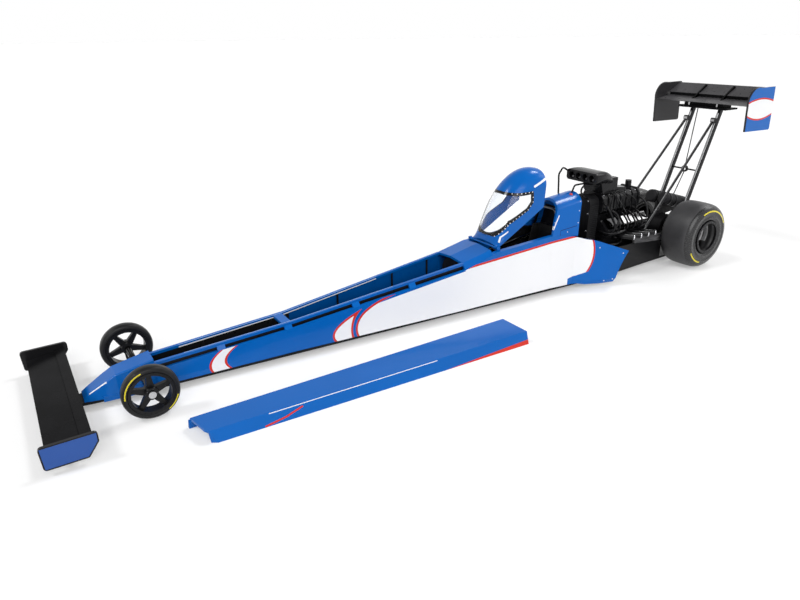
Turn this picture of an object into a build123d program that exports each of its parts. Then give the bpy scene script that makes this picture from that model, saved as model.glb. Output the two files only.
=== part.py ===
"""Display model of a long-wheelbase drag racing car, as an assembly of its own pieces.

Millimetres, +X to the nose, +Y to the left side, +Z up.
The origin lies midway between the axles, between the two base screws, on the belly pan's underside.
"""
import os

from build123d import *

os.makedirs("parts", exist_ok=True)

# Wheels and stance
WHEELBASE = 317.5
GROUND = 2.4
FRONT_TYRE_R = 10.6
FRONT_TYRE_W = 4.8
FRONT_RIM_R = 8.5
FRONT_TRACK = 44.6
REAR_TYRE_R = 19.3
REAR_TYRE_W = 20.4
REAR_RIM_R = 9.7
REAR_TRACK = 47.2
RUNNING_CLEARANCE = 0.05
SIDE_CLEARANCE = 0.4
SEAT_GAP = 0.05

# Axles
FRONT_BEAM_R = 1.3
FRONT_SPINDLE_R = 0.8
REAR_SHAFT_R = 1.6
REAR_HOUSING_R = 3.0

# Body
PAN_T = 1.2
WALL = 1.1
RAIL_W = 1.6
RAIL_H = 1.2
SCREW_R = 1.25
SCREW_SPACING = 120.0

# Wings
PLATE_T = 1.2
FRONT_SPAN = 79.6
REAR_SPAN = 61.0

# Canopy
CANOPY_OPEN = 25.7
CANOPY_GAP = 0.5
CANOPY_WALL = 1.0
HINGE_PIN_R = 0.5
KNUCKLE_R = 0.9
KNUCKLE_Y = 9.4
KNUCKLE_W = 1.4
EAR_Y = 11.4
EAR_W = 0.9

# Tubes
FRAME_TUBE_R = 1.0
CAGE_TUBE_R = 0.8
STAY_R = 0.8
FUEL_LINE_R = 0.5

REAR_X = -WHEELBASE / 2
FRONT_X = WHEELBASE / 2
SIDES = (("left", 1), ("right", -1))


def rear(distance):
    """X of a place measured forward from the rear axle."""
    return REAR_X + distance


def front(distance):
    """X of a place measured forward from the front axle."""
    return FRONT_X + distance


def up(height):
    """Z of a height above the floor."""
    return height - GROUND


def side_plane(y):
    """Sketch plane seen from the right side: local x is X, local y is Z."""
    return Plane(origin=(0, y, 0), x_dir=(1, 0, 0), z_dir=(0, -1, 0))


def cross_plane(x):
    """Sketch plane across the car: local x is Y, local y is Z."""
    return Plane.YZ.offset(x)


def between(low, high, share):
    """The value at a share of the way from low to high."""
    return low + (high - low) * share


def along(stations, x, column):
    """A column's value at x, in a table of stations that run from nose to tail."""
    for ahead, behind in zip(stations, stations[1:]):
        if behind[0] <= x <= ahead[0]:
            return between(behind[column], ahead[column], (x - behind[0]) / (ahead[0] - behind[0]))
    raise ValueError("x lies off the stations")


def profile(plane, points):
    """A closed outline of straight edges."""
    with BuildSketch(plane) as section:
        with BuildLine():
            Polyline(*points, close=True)
        make_face()
    return section.sketch


def mirrored(points):
    """A closed outline across the car from its left half, listed from the bottom up."""
    return [*points, *[(-y, z) for y, z in reversed(points)]]


def rod(start, end, radius):
    """Adds a straight round bar to the part that is being built."""
    path = Vector(*end) - Vector(*start)
    with BuildSketch(Plane(origin=start, z_dir=path)) as section:
        Circle(radius)
    extrude(section.sketch, amount=path.length)


def pipe(points, bends, radius, bore=0.0, depth=0.0):
    """Adds a bent round pipe, with an open mouth where a bore is given."""
    with BuildLine() as path:
        FilletPolyline(*points, radius=bends)
    with BuildSketch(Plane(origin=points[0], z_dir=path.line % 0)) as section:
        Circle(radius)
    sweep(section.sketch, path=path.line)
    if bore:
        with BuildSketch(Plane(origin=points[-1], z_dir=path.line % 1)) as mouth:
            Circle(bore)
        extrude(mouth.sketch, amount=-depth, mode=Mode.SUBTRACT)


def save(name, part):
    """Labels a finished piece and writes its STEP file."""
    part.label = name
    export_step(part, f"parts/{name}.step")


# Places along the body
NOSE_TIP = front(21.4)
NOSE_BACK = front(-5.5)
COWL_FRONT = rear(164.0)
COWL_BACK = rear(147.0)
RAIL_MID = between(COWL_FRONT, NOSE_BACK, 0.6)
COCKPIT_FRONT = rear(144.8)
HINGE_X = rear(142.5)
HINGE_Z = up(31.8)
SHROUD_FRONT = rear(107.0)
SHROUD_BACK = rear(88.0)
FIREWALL_X = rear(92.0)
ENGINE_FRONT = rear(64.0)
ENGINE_BACK = rear(28.5)
SILL_FRONT_Z = up(30.6)
SILL_BACK_Z = up(33.0)
AXLE_FRONT_Z = up(FRONT_TYRE_R)
AXLE_REAR_Z = up(REAR_TYRE_R)
front_inner_y = FRONT_TRACK / 2 - FRONT_TYRE_W / 2
front_outer_y = FRONT_TRACK / 2 + FRONT_TYRE_W / 2
rear_inner_y = REAR_TRACK / 2 - REAR_TYRE_W / 2
rear_outer_y = REAR_TRACK / 2 + REAR_TYRE_W / 2

# Belly pan
PAN_OUTLINE = (  # x, half width
    (front(24.5), 4.0),
    (front(18.0), 4.9),
    (NOSE_BACK, 6.5),
    (COWL_FRONT, 12.2),
    (rear(92), 15.2),
    (rear(62), 15.4),
    (rear(24), rear_inner_y - 2 * SIDE_CLEARANCE),
    (rear(-12), rear_inner_y - 7 * SIDE_CLEARANCE),
)
with BuildPart() as belly_pan:
    with BuildSketch():
        with BuildLine():
            left_edge = list(PAN_OUTLINE)
            right_edge = [(x, -half) for x, half in reversed(PAN_OUTLINE)]
            Polyline(*left_edge, *right_edge, close=True)
        make_face()
        with GridLocations(SCREW_SPACING, 1, 2, 1):
            Circle(SCREW_R, mode=Mode.SUBTRACT)
    extrude(amount=PAN_T)
save("belly_pan", belly_pan.part)

# Side panels with the inward ledge, and the flare ahead of the rear tyre with its folded lower lip
LIP_H = 2.2
SIDE_STATIONS = (  # x, bottom, half width at the lip, lip tuck, half width at the top, top, ledge width
    (NOSE_BACK, PAN_T, 6.9, 0.0, 5.8, up(10.4), 1.3),
    (RAIL_MID, PAN_T, 8.6, 0.0, 8.3, up(14.8), 1.3),
    (COWL_FRONT, PAN_T, 12.8, 0.0, 13.0, up(24.9), 2.0),
    (COCKPIT_FRONT, PAN_T, 13.3, 0.0, 13.4, SILL_FRONT_Z, 2.8),
    (SHROUD_FRONT, PAN_T, 14.5, 0.0, 13.8, SILL_BACK_Z, 2.4),
    (rear(92), PAN_T, 15.9, 0.0, 15.4, up(30.6), 3.0),
    (rear(89.6), PAN_T, 17.2, 0.3, 15.7, up(29.8), 3.0),
    (rear(85), up(2.8), 19.5, 0.6, 16.4, up(28.3), 2.0),
    (rear(77), up(2.6), 23.0, 0.9, 18.3, up(26.3), 1.6),
    (rear(60), up(2.6), 27.2, 0.9, 29.2, up(19.8), 1.6),
)
FLARE_TOP_BACK = (rear(62.2), up(20.5))
FLARE_LOW_BACK = (rear(68.3), up(2.6))


def panel_section(x, bottom, low, tuck, top, z, ledge, side):
    """Cross section of a side panel: lip, wall and ledge."""
    outline = (
        (low - tuck, bottom),
        (low, bottom + LIP_H),
        (top, z),
        (top - ledge, z),
        (top - ledge, z - WALL),
        (top - WALL, z - WALL),
        (low - WALL, bottom + LIP_H),
        (low - tuck - WALL, bottom),
    )
    return profile(cross_plane(x), [(side * y, z) for y, z in outline])


def side_top(x):
    """Height of the side panel's top edge at x."""
    return along(SIDE_STATIONS, x, 5)


flare_edge = Vector(FLARE_TOP_BACK[0] - FLARE_LOW_BACK[0], 0, FLARE_TOP_BACK[1] - FLARE_LOW_BACK[1])
flare_cut = Plane(
    origin=(FLARE_LOW_BACK[0], 0, FLARE_LOW_BACK[1]), x_dir=(0, 1, 0), z_dir=Vector(0, 1, 0).cross(flare_edge)
)
for side_name, side in SIDES:
    with BuildPart() as side_panel:
        loft([panel_section(*station, side) for station in SIDE_STATIONS], ruled=True)
        split(bisect_by=flare_cut, keep=Keep.TOP)
    save(f"side_panel_{side_name}", side_panel.part)

# Upper rails, with the tabs that stand on the panels' edges
RAIL_STATIONS = (  # x, middle of the rail, top
    (NOSE_BACK, 4.6, up(13.4)),
    (RAIL_MID, 5.8, up(17.3)),
    (COWL_FRONT, 10.3, up(28.0)),
)
TAB_SHARES = (0.18, 0.38, 0.6, 0.8)
TAB_LENGTH = 3.4
TAB_W = 1.2
TAB_SINK = 0.4


def rail_section(x, side):
    """Cross section of the upper rail at x."""
    y = along(RAIL_STATIONS, x, 1)
    top = along(RAIL_STATIONS, x, 2)
    inner, outer = y - RAIL_W / 2, y + RAIL_W / 2
    corners = ((inner, top - RAIL_H), (outer, top - RAIL_H), (outer, top), (inner, top))
    return profile(cross_plane(x), [(side * y, z) for y, z in corners])


def tab_section(x, side):
    """Cross section at x of a tab that slants from the rail to the side panel's edge."""
    outer = along(RAIL_STATIONS, x, 1) + RAIL_W / 2
    edge = along(SIDE_STATIONS, x, 4)
    high = along(RAIL_STATIONS, x, 2) - RAIL_H + TAB_SINK
    low = side_top(x) + SEAT_GAP
    corners = ((edge - TAB_W, low), (edge, low), (outer, high), (outer - TAB_W, high))
    return profile(cross_plane(x), [(side * y, z) for y, z in corners])


for side_name, side in SIDES:
    with BuildPart() as upper_rail:
        loft([rail_section(station[0], side) for station in RAIL_STATIONS], ruled=True)
        for share in TAB_SHARES:
            middle = between(NOSE_BACK, COWL_FRONT, share)
            ends = (middle + TAB_LENGTH / 2, middle - TAB_LENGTH / 2)
            loft([tab_section(x, side) for x in ends], ruled=True)
    save(f"upper_rail_{side_name}", upper_rail.part)

# Cross member between the upper rails
CROSS_LENGTH = 4.0
with BuildPart() as rail_cross:
    cross_x = between(NOSE_BACK, COWL_FRONT, TAB_SHARES[1])
    sections = []
    for x in (cross_x + CROSS_LENGTH / 2, cross_x - CROSS_LENGTH / 2):
        half = along(RAIL_STATIONS, x, 1) - RAIL_W / 2
        top = along(RAIL_STATIONS, x, 2)
        corners = ((-half, top - RAIL_H), (half, top - RAIL_H), (half, top), (-half, top))
        sections.append(profile(cross_plane(x), corners))
    loft(sections, ruled=True)
save("rail_cross", rail_cross.part)

# Nose, with a lip beside the pan and the bore for the front axle beam
NOSE_STATIONS = (  # x, low half width, top half width, top
    (NOSE_BACK, 6.9, 4.9, up(14.8)),
    (front(9.0), 6.4, 4.6, up(12.0)),
    (front(13.4), 5.9, 4.3, up(9.7)),
    (front(19.6), 4.6, 3.5, up(6.2)),
    (NOSE_TIP, 4.2, 3.2, up(5.0)),
)
NOSE_EDGE_R = 0.6
NOSE_LIP_FRONT = front(14.8)
NOSE_LIP_T = 0.6
NOSE_LIP_H = 1.2
with BuildPart() as nose:
    for x, low, top, z in NOSE_STATIONS:
        with BuildSketch(cross_plane(x)) as section:
            with BuildLine():
                Polyline((-low, PAN_T), (low, PAN_T), (top, z), (-top, z), close=True)
            make_face()
            fillet(section.vertices().group_by(Axis.Y)[-1], NOSE_EDGE_R)
    loft(ruled=True)
    for side_name, side in SIDES:
        lips = []
        for x in (NOSE_LIP_FRONT, NOSE_BACK):
            inner = along(PAN_OUTLINE, x, 1) + 2 * SEAT_GAP
            outer = inner + NOSE_LIP_T
            corners = ((inner, 0), (outer, 0), (outer, PAN_T + NOSE_LIP_H), (inner, PAN_T + NOSE_LIP_H))
            lips.append(profile(cross_plane(x), [(side * y, z) for y, z in corners]))
        loft(lips, ruled=True)
    with BuildSketch(Plane(origin=(FRONT_X, 0, AXLE_FRONT_Z), z_dir=(0, 1, 0))):
        Circle(FRONT_BEAM_R)
    extrude(amount=FRONT_TRACK, both=True, mode=Mode.SUBTRACT)
save("nose", nose.part)

# Front axle beam, fixed, with a spindle and a pin head for each wheel
PIN_HEAD_R = 1.4
PIN_HEAD_T = 0.6
with BuildPart() as front_axle:
    beam_end = front_inner_y - SIDE_CLEARANCE
    pin_end = front_outer_y + SIDE_CLEARANCE
    rod((FRONT_X, -beam_end, AXLE_FRONT_Z), (FRONT_X, beam_end, AXLE_FRONT_Z), FRONT_BEAM_R)
    rod((FRONT_X, -pin_end, AXLE_FRONT_Z), (FRONT_X, pin_end, AXLE_FRONT_Z), FRONT_SPINDLE_R)
    for side_name, side in SIDES:
        head_start = (FRONT_X, side * pin_end, AXLE_FRONT_Z)
        rod(head_start, (FRONT_X, side * (pin_end + PIN_HEAD_T), AXLE_FRONT_Z), PIN_HEAD_R)
save("front_axle", front_axle.part)

# Front wheels with five spokes that widen to the hub, and their tyres
SPOKES = 5
SPOKE_ROOT_W = 3.2
SPOKE_TIP_W = 1.5
FRONT_RIM_T = 1.2
FRONT_HUB_R = 2.4
FRONT_SPOKE_T = 1.8
FRONT_TYRE_ROUND = 1.0
for side_name, side in SIDES:
    wheel_plane = Plane(origin=(FRONT_X, side * FRONT_TRACK / 2, AXLE_FRONT_Z), z_dir=(0, side, 0))
    with BuildPart() as front_wheel:
        with BuildSketch(wheel_plane):
            Circle(FRONT_RIM_R)
            Circle(FRONT_RIM_R - FRONT_RIM_T, mode=Mode.SUBTRACT)
        extrude(amount=FRONT_TYRE_W / 2, both=True)
        with BuildSketch(wheel_plane):
            with PolarLocations(0, SPOKES):
                root, tip = SPOKE_ROOT_W / 2, SPOKE_TIP_W / 2
                reach = FRONT_RIM_R - FRONT_RIM_T / 2
                Polygon((0, -root), (reach, -tip), (reach, tip), (0, root), align=None)
            Circle(FRONT_HUB_R)
        extrude(amount=FRONT_SPOKE_T / 2, both=True)
        with BuildSketch(wheel_plane):
            Circle(FRONT_HUB_R)
        extrude(amount=FRONT_TYRE_W / 2, both=True)
        with BuildSketch(wheel_plane):
            Circle(FRONT_SPINDLE_R + RUNNING_CLEARANCE)
        extrude(amount=FRONT_TYRE_W, both=True, mode=Mode.SUBTRACT)
    save(f"front_wheel_{side_name}", front_wheel.part)

    with BuildPart() as front_tyre:
        with BuildSketch(wheel_plane):
            Circle(FRONT_TYRE_R)
        extrude(amount=FRONT_TYRE_W / 2, both=True)
        fillet(front_tyre.edges(), FRONT_TYRE_ROUND)
        with BuildSketch(wheel_plane):
            Circle(FRONT_RIM_R)
        extrude(amount=FRONT_TYRE_W, both=True, mode=Mode.SUBTRACT)
    save(f"front_tyre_{side_name}", front_tyre.part)

# Front wing: plane, trailing flap, end plates and the two pylons on the pan
FRONT_WING_LEAD = (front(37.5), up(7.0))
FRONT_WING_TAIL = (front(26.6), up(8.5))
FRONT_WING_BELLY = 1.5
FRONT_FLAP_LEAD = (front(26.5), up(8.75))
FRONT_FLAP_TAIL = (front(22.7), up(9.6))
TAIL_T = 0.5
with BuildPart() as front_wing:
    (lead_x, lead_z), (tail_x, tail_z) = FRONT_WING_LEAD, FRONT_WING_TAIL
    with BuildSketch(side_plane(0)):
        with BuildLine():
            Line(FRONT_WING_LEAD, FRONT_WING_TAIL)
            Line(FRONT_WING_TAIL, (tail_x, tail_z - TAIL_T))
            belly = ((lead_x + tail_x) / 2, (lead_z + tail_z) / 2 - FRONT_WING_BELLY)
            ThreePointArc((tail_x, tail_z - TAIL_T), belly, FRONT_WING_LEAD)
        make_face()
    extrude(amount=FRONT_SPAN / 2, both=True)
save("front_wing", front_wing.part)

with BuildPart() as front_flap:
    (lead_x, lead_z), (tail_x, tail_z) = FRONT_FLAP_LEAD, FRONT_FLAP_TAIL
    outline = (FRONT_FLAP_LEAD, FRONT_FLAP_TAIL, (tail_x, tail_z - TAIL_T), (lead_x, lead_z - TAIL_T))
    extrude(profile(side_plane(0), outline), amount=FRONT_SPAN / 2, both=True)
save("front_flap", front_flap.part)

FRONT_PLATE = (  # x, height
    (front(39.4), up(11.0)),
    (front(21.2), up(11.4)),
    (front(21.2), up(7.6)),
    (front(25.0), up(2.4)),
    (front(38.8), up(2.1)),
)
FRONT_PLATE_R = 1.3
for side_name, side in SIDES:
    with BuildPart() as front_end_plate:
        with BuildSketch(side_plane(side * FRONT_SPAN / 2)) as section:
            with BuildLine():
                Polyline(*FRONT_PLATE, close=True)
            make_face()
            fillet(section.vertices(), FRONT_PLATE_R)
        extrude(amount=-side * PLATE_T)
    save(f"front_end_plate_{side_name}", front_end_plate.part)

PYLON_Y = 2.4
PYLON_W = 1.2
PYLON_OUTLINE = ((front(23.0), PAN_T), (front(24.4), PAN_T), (front(31.0), up(7.2)), (front(27.0), up(7.4)))
with BuildPart() as front_pylons:
    for side_name, side in SIDES:
        extrude(profile(side_plane(side * PYLON_Y), PYLON_OUTLINE), amount=PYLON_W / 2, both=True)
    add(front_wing.part, mode=Mode.SUBTRACT)
save("front_pylons", front_pylons.part)

# Cowl ahead of the cockpit
COWL_STATIONS = (  # x, foot half width, shoulder half width, shoulder rise, crown rise
    (COWL_FRONT, 12.6, 10.6, 3.2, 4.0),
    (COWL_BACK, 12.9, 10.8, 1.8, 2.6),
)
with BuildPart() as cowl:
    sections = []
    for x, foot, shoulder, shoulder_rise, crown_rise in COWL_STATIONS:
        z = side_top(x)
        outer = [(foot, z), (shoulder, z + shoulder_rise), (0, z + crown_rise)]
        inner = [(foot - WALL, z), (shoulder - WALL, z + shoulder_rise - WALL), (0, z + crown_rise - WALL)]
        far_outer = [(-y, z) for y, z in reversed(outer[:-1])]
        far_inner = [(-y, z) for y, z in inner[:-1]]
        sections.append(profile(cross_plane(x), outer + far_outer + far_inner + inner[::-1]))
    loft(sections, ruled=True)
save("cowl", cowl.part)

# Headrest shroud behind the cockpit
SHROUD_TOP_FRONT = (rear(97.5), up(49.4))
SHROUD_TOP_BACK = (rear(80.5), up(51.2))
SHROUD_FOOT = 13.6
SHROUD_SHOULDER = 8.6
SHOULDER_DROP = 4.0
SHROUD_LOW_BACK_Z = up(30.0)
shroud_sill_slope = (SILL_BACK_Z - up(30.3)) / (SHROUD_FRONT - rear(90))
front_lean = Vector(SHROUD_TOP_FRONT[0] - SHROUD_FRONT, 0, SHROUD_TOP_FRONT[1] - SILL_BACK_Z)
back_lean = Vector(SHROUD_TOP_BACK[0] - SHROUD_BACK, 0, SHROUD_TOP_BACK[1] - SHROUD_LOW_BACK_Z)
front_cut = Plane(origin=(SHROUD_FRONT, 0, SILL_BACK_Z), z_dir=front_lean.cross(Vector(0, 1, 0)))
back_cut = Plane(origin=(SHROUD_BACK, 0, SHROUD_LOW_BACK_Z), z_dir=back_lean.cross(Vector(0, 1, 0)))


def shroud_crown(x):
    """Height of the shroud's crown line at x."""
    share = (x - SHROUD_TOP_BACK[0]) / (SHROUD_TOP_FRONT[0] - SHROUD_TOP_BACK[0])
    return between(SHROUD_TOP_BACK[1], SHROUD_TOP_FRONT[1], share)


with BuildPart() as shroud:
    for x in (SHROUD_FRONT + 4, SHROUD_TOP_BACK[0] - 3):
        crown = shroud_crown(x)
        foot_z = SILL_BACK_Z + shroud_sill_slope * (x - SHROUD_FRONT)
        shoulder_z = crown - SHOULDER_DROP
        inner_z = shoulder_z - WALL / 2
        inner_y = SHROUD_SHOULDER - WALL
        with BuildSketch(cross_plane(x)):
            with BuildLine():
                Line((-SHROUD_FOOT, foot_z), (-SHROUD_SHOULDER, shoulder_z))
                ThreePointArc((-SHROUD_SHOULDER, shoulder_z), (0, crown), (SHROUD_SHOULDER, shoulder_z))
                Line((SHROUD_SHOULDER, shoulder_z), (SHROUD_FOOT, foot_z))
                Line((SHROUD_FOOT, foot_z), (SHROUD_FOOT - WALL, foot_z))
                Line((SHROUD_FOOT - WALL, foot_z), (inner_y, inner_z))
                ThreePointArc((inner_y, inner_z), (0, crown - WALL), (-inner_y, inner_z))
                Line((-inner_y, inner_z), (WALL - SHROUD_FOOT, foot_z))
                Line((WALL - SHROUD_FOOT, foot_z), (-SHROUD_FOOT, foot_z))
            make_face()
    loft(ruled=True)
    split(bisect_by=front_cut, keep=Keep.TOP)
    split(bisect_by=back_cut, keep=Keep.BOTTOM)
save("shroud", shroud.part)

# Firewall between the cockpit and the engine
FIREWALL_T = 1.2
FIREWALL_OUTLINE = ((13.6, PAN_T), (11.4, up(29.5)), (7.2, up(44.0)))  # half width, height
with BuildPart() as firewall:
    extrude(profile(cross_plane(FIREWALL_X), mirrored(FIREWALL_OUTLINE)), amount=FIREWALL_T)
save("firewall", firewall.part)

# Bucket seat, roll cage and steering
SEAT_HALF = 8.0
SEAT_WALL = 1.1
SEAT_BACK = FIREWALL_X + FIREWALL_T + 1.0
SEAT_OUTLINE = (
    (SEAT_BACK, PAN_T),
    (rear(123), PAN_T),
    (rear(123), up(11.0)),
    (rear(107), up(12.6)),
    (rear(101.5), up(34.0)),
    (SEAT_BACK, up(34.0)),
)
SEAT_HOLLOW = (
    (rear(124), up(7.4)),
    (rear(103), up(6.4)),
    (rear(97), up(35.0)),
    (rear(103), up(35.0)),
    (rear(124), up(14.0)),
)
with BuildPart() as seat:
    extrude(profile(side_plane(0), SEAT_OUTLINE), amount=SEAT_HALF, both=True)
    extrude(profile(side_plane(0), SEAT_HOLLOW), amount=SEAT_HALF - SEAT_WALL, both=True, mode=Mode.SUBTRACT)
save("seat", seat.part)

HOOP_X = rear(98.8)
HOOP_BEND = 2.4
HOOP_OUTLINE = ((9.8, PAN_T + SEAT_GAP), (9.6, up(33.0)), (6.0, up(44.4)))  # half width, height
BAR_BACK = (HOOP_X, 9.7, up(28.0))
BAR_FRONT = (rear(139), 10.4, up(22.0))
with BuildPart() as roll_cage:
    hoop = [(HOOP_X, y, z) for y, z in mirrored(HOOP_OUTLINE)]
    pipe(hoop, HOOP_BEND, CAGE_TUBE_R)
    for side_name, side in SIDES:
        ends = [(x, side * y, z) for x, y, z in (BAR_BACK, BAR_FRONT)]
        rod(*ends, CAGE_TUBE_R)
save("roll_cage", roll_cage.part)

COLUMN_FOOT = (rear(142), 0, PAN_T + 0.6)
COLUMN_TOP = (rear(130), 0, up(24.0))
COLUMN_R = 1.0
YOKE_W, YOKE_H, YOKE_T = 12.0, 6.0, 1.2
GRIP_W, GRIP_H, GRIP_PITCH = 3.0, 3.2, 7.6
with BuildPart() as steering:
    rod(COLUMN_FOOT, COLUMN_TOP, COLUMN_R)
    column = Vector(*COLUMN_TOP) - Vector(*COLUMN_FOOT)
    with BuildSketch(Plane(origin=COLUMN_TOP, x_dir=(0, 1, 0), z_dir=column)):
        Rectangle(YOKE_W, YOKE_H)
        with GridLocations(GRIP_PITCH, 1, 2, 1):
            Rectangle(GRIP_W, GRIP_H, mode=Mode.SUBTRACT)
    extrude(amount=YOKE_T)
save("steering", steering.part)

# Canopy, drawn shut and then turned up to its open stop
CANOPY_STATIONS = (  # x, foot half width, crown height
    (rear(142.0), 10.4, up(33.8)),
    (rear(123.6), 10.2, up(50.8)),
    (rear(113.0), 10.0, up(54.2)),
    (rear(105.0), 9.8, up(53.6)),
    (rear(95.0), 9.6, up(46.6)),
)
GLASS_OUTLINE = (  # x, height: lower border from the front, then the upper border back to the front
    (rear(143.0), up(35.0)),
    (rear(139.4), up(36.2)),
    (rear(130.0), up(39.1)),
    (rear(117.4), up(38.8)),
    (rear(113.2), up(40.5)),
    (rear(111.4), up(44.9)),
    (rear(119.3), up(48.3)),
    (rear(123.2), up(50.6)),
    (rear(125.0), up(56.0)),
    (rear(143.0), up(56.0)),
)
SIDE_MIN = 0.5
hinge_axis = Axis((HINGE_X, 0, HINGE_Z), (0, 1, 0))
sill_slope = (SILL_BACK_Z - SILL_FRONT_Z) / (SHROUD_FRONT - COCKPIT_FRONT)


def canopy_arch(x, foot, crown, wall):
    """Closed arch section of the canopy, shrunk by a wall thickness and drawn down past the foot for a cut."""
    foot_z = SILL_FRONT_Z + sill_slope * (x - COCKPIT_FRONT) + CANOPY_GAP
    waist_z = max(foot_z + SIDE_MIN, crown - foot)
    side_y = foot - wall
    low_z = foot_z - 4 * wall
    with BuildSketch(cross_plane(x)) as section:
        with BuildLine():
            Line((-side_y, low_z), (side_y, low_z))
            Line((side_y, low_z), (side_y, waist_z))
            ThreePointArc((side_y, waist_z), (0, crown - wall), (-side_y, waist_z))
            Line((-side_y, waist_z), (-side_y, low_z))
        make_face()
    return section.sketch


with BuildPart() as canopy_skin:
    loft([canopy_arch(*station, 0) for station in CANOPY_STATIONS])
    loft([canopy_arch(*station, CANOPY_WALL) for station in CANOPY_STATIONS], mode=Mode.SUBTRACT)
    split(bisect_by=front_cut.offset(-CANOPY_GAP), keep=Keep.BOTTOM)

glass_prism = profile(side_plane(0), GLASS_OUTLINE)
with BuildPart() as canopy_shell:
    add(canopy_skin.part)
    extrude(glass_prism, amount=FRONT_TRACK, both=True, mode=Mode.SUBTRACT)
    for side_name, side in SIDES:
        with Locations((HINGE_X - KNUCKLE_R, side * KNUCKLE_Y, HINGE_Z)):
            Box(2 * KNUCKLE_R, KNUCKLE_W, KNUCKLE_R)
        start = (HINGE_X, side * (KNUCKLE_Y - KNUCKLE_W / 2), HINGE_Z)
        rod(start, (HINGE_X, side * (KNUCKLE_Y + KNUCKLE_W / 2), HINGE_Z), KNUCKLE_R)
    with BuildSketch(Plane(origin=(HINGE_X, 0, HINGE_Z), z_dir=(0, 1, 0))):
        Circle(HINGE_PIN_R + RUNNING_CLEARANCE)
    extrude(amount=FRONT_TRACK, both=True, mode=Mode.SUBTRACT)
with BuildPart() as windshield:
    add(canopy_skin.part)
    extrude(glass_prism, amount=FRONT_TRACK, both=True, mode=Mode.INTERSECT)
save("canopy_shell", canopy_shell.part.rotate(hinge_axis, CANOPY_OPEN))
save("windshield", windshield.part.rotate(hinge_axis, CANOPY_OPEN))

with BuildPart() as canopy_hinge:
    rod((HINGE_X, -EAR_Y, HINGE_Z), (HINGE_X, EAR_Y, HINGE_Z), HINGE_PIN_R)
    ear_low = side_top(HINGE_X - KNUCKLE_R) + SEAT_GAP
    ear_high = HINGE_Z + KNUCKLE_R
    for side_name, side in SIDES:
        with Locations((HINGE_X, side * EAR_Y, (ear_low + ear_high) / 2)):
            Box(2 * KNUCKLE_R, EAR_W, ear_high - ear_low)
save("canopy_hinge", canopy_hinge.part)

# Engine block with its cylinder heads and exhaust ports
SUMP_HALF = 5.2
VALLEY = (4.8, up(31.4))
HEAD_LOW = (8.6, up(21.5))
HEAD_OUTER = (12.0, up(28.6))
HEAD_INNER = (7.4, up(33.2))
PORT_X = (rear(53.0), rear(46.8), rear(40.6), rear(34.4))
PORT_Z = up(24.0)
PORT_R = 1.9
PORT_FACE_Y = 10.6
with BuildPart() as engine_block:
    half_outline = ((SUMP_HALF, PAN_T), (SUMP_HALF, up(11.0)), HEAD_LOW, HEAD_OUTER, HEAD_INNER, VALLEY)
    extrude(profile(cross_plane(ENGINE_BACK), mirrored(half_outline)), amount=ENGINE_FRONT - ENGINE_BACK)
    for side_name, side in SIDES:
        for x in PORT_X:
            rod((x, side * SUMP_HALF, PORT_Z), (x, side * PORT_FACE_Y, PORT_Z), PORT_R)
save("engine_block", engine_block.part)

COVER_INSET = 2.0
COVER_H = 2.8
COVER_EDGE = 0.5
COVER_R = 0.8
for side_name, side in SIDES:
    with BuildPart() as valve_cover:
        deck = Vector(*HEAD_INNER) - Vector(*HEAD_OUTER)
        edge = deck.normalized() * COVER_EDGE
        rise = Vector(-deck.Y, deck.X).normalized() * -COVER_H
        outer = Vector(*HEAD_OUTER)
        inner = Vector(*HEAD_INNER)
        corners = (outer, outer + rise + edge, inner + rise - edge, inner)
        plane = cross_plane(ENGINE_BACK + COVER_INSET)
        section = profile(plane, [(side * corner.X, corner.Y) for corner in corners])
        extrude(section, amount=ENGINE_FRONT - ENGINE_BACK - 2 * COVER_INSET)
        long_edges = valve_cover.edges().filter_by(Axis.X)
        fillet(long_edges.sort_by(lambda edge: abs(edge.center().Y) + edge.center().Z)[-2:], COVER_R)
    save(f"valve_cover_{side_name}", valve_cover.part)

# Supercharger on its manifold, with cross ribs and a filler cap
SUPER_BACK = rear(33.0)
SUPER_TOP = up(48.5)
SUPER_RIBS = 7
RIB_PROUD = 0.5
RIB_W = 1.2
CAP_R, CAP_H = 1.8, 3.4
with BuildPart() as supercharger:
    half_outline = (
        (VALLEY[0] - 0.2, VALLEY[1] + SEAT_GAP),
        (VALLEY[0] - 0.2, up(36.0)),
        (7.2, up(38.5)),
        (7.2, up(45.6)),
        (5.2, SUPER_TOP - RIB_PROUD),
    )
    super_length = ENGINE_FRONT - SUPER_BACK
    extrude(profile(cross_plane(SUPER_BACK), mirrored(half_outline)), amount=super_length)
    rib_outline = (
        (7.2 - RIB_PROUD, up(38.5)),
        (7.2 + RIB_PROUD, up(39.2)),
        (7.2 + RIB_PROUD, up(45.8)),
        (5.4, SUPER_TOP),
    )
    for rib in range(SUPER_RIBS):
        x = between(SUPER_BACK, ENGINE_FRONT - RIB_W, rib / (SUPER_RIBS - 1))
        extrude(profile(cross_plane(x), mirrored(rib_outline)), amount=RIB_W)
    rod((SUPER_BACK + CAP_R, 0, SUPER_TOP - CAP_H / 2), (SUPER_BACK + CAP_R, 0, SUPER_TOP + CAP_H), CAP_R)
save("supercharger", supercharger.part)

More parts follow.
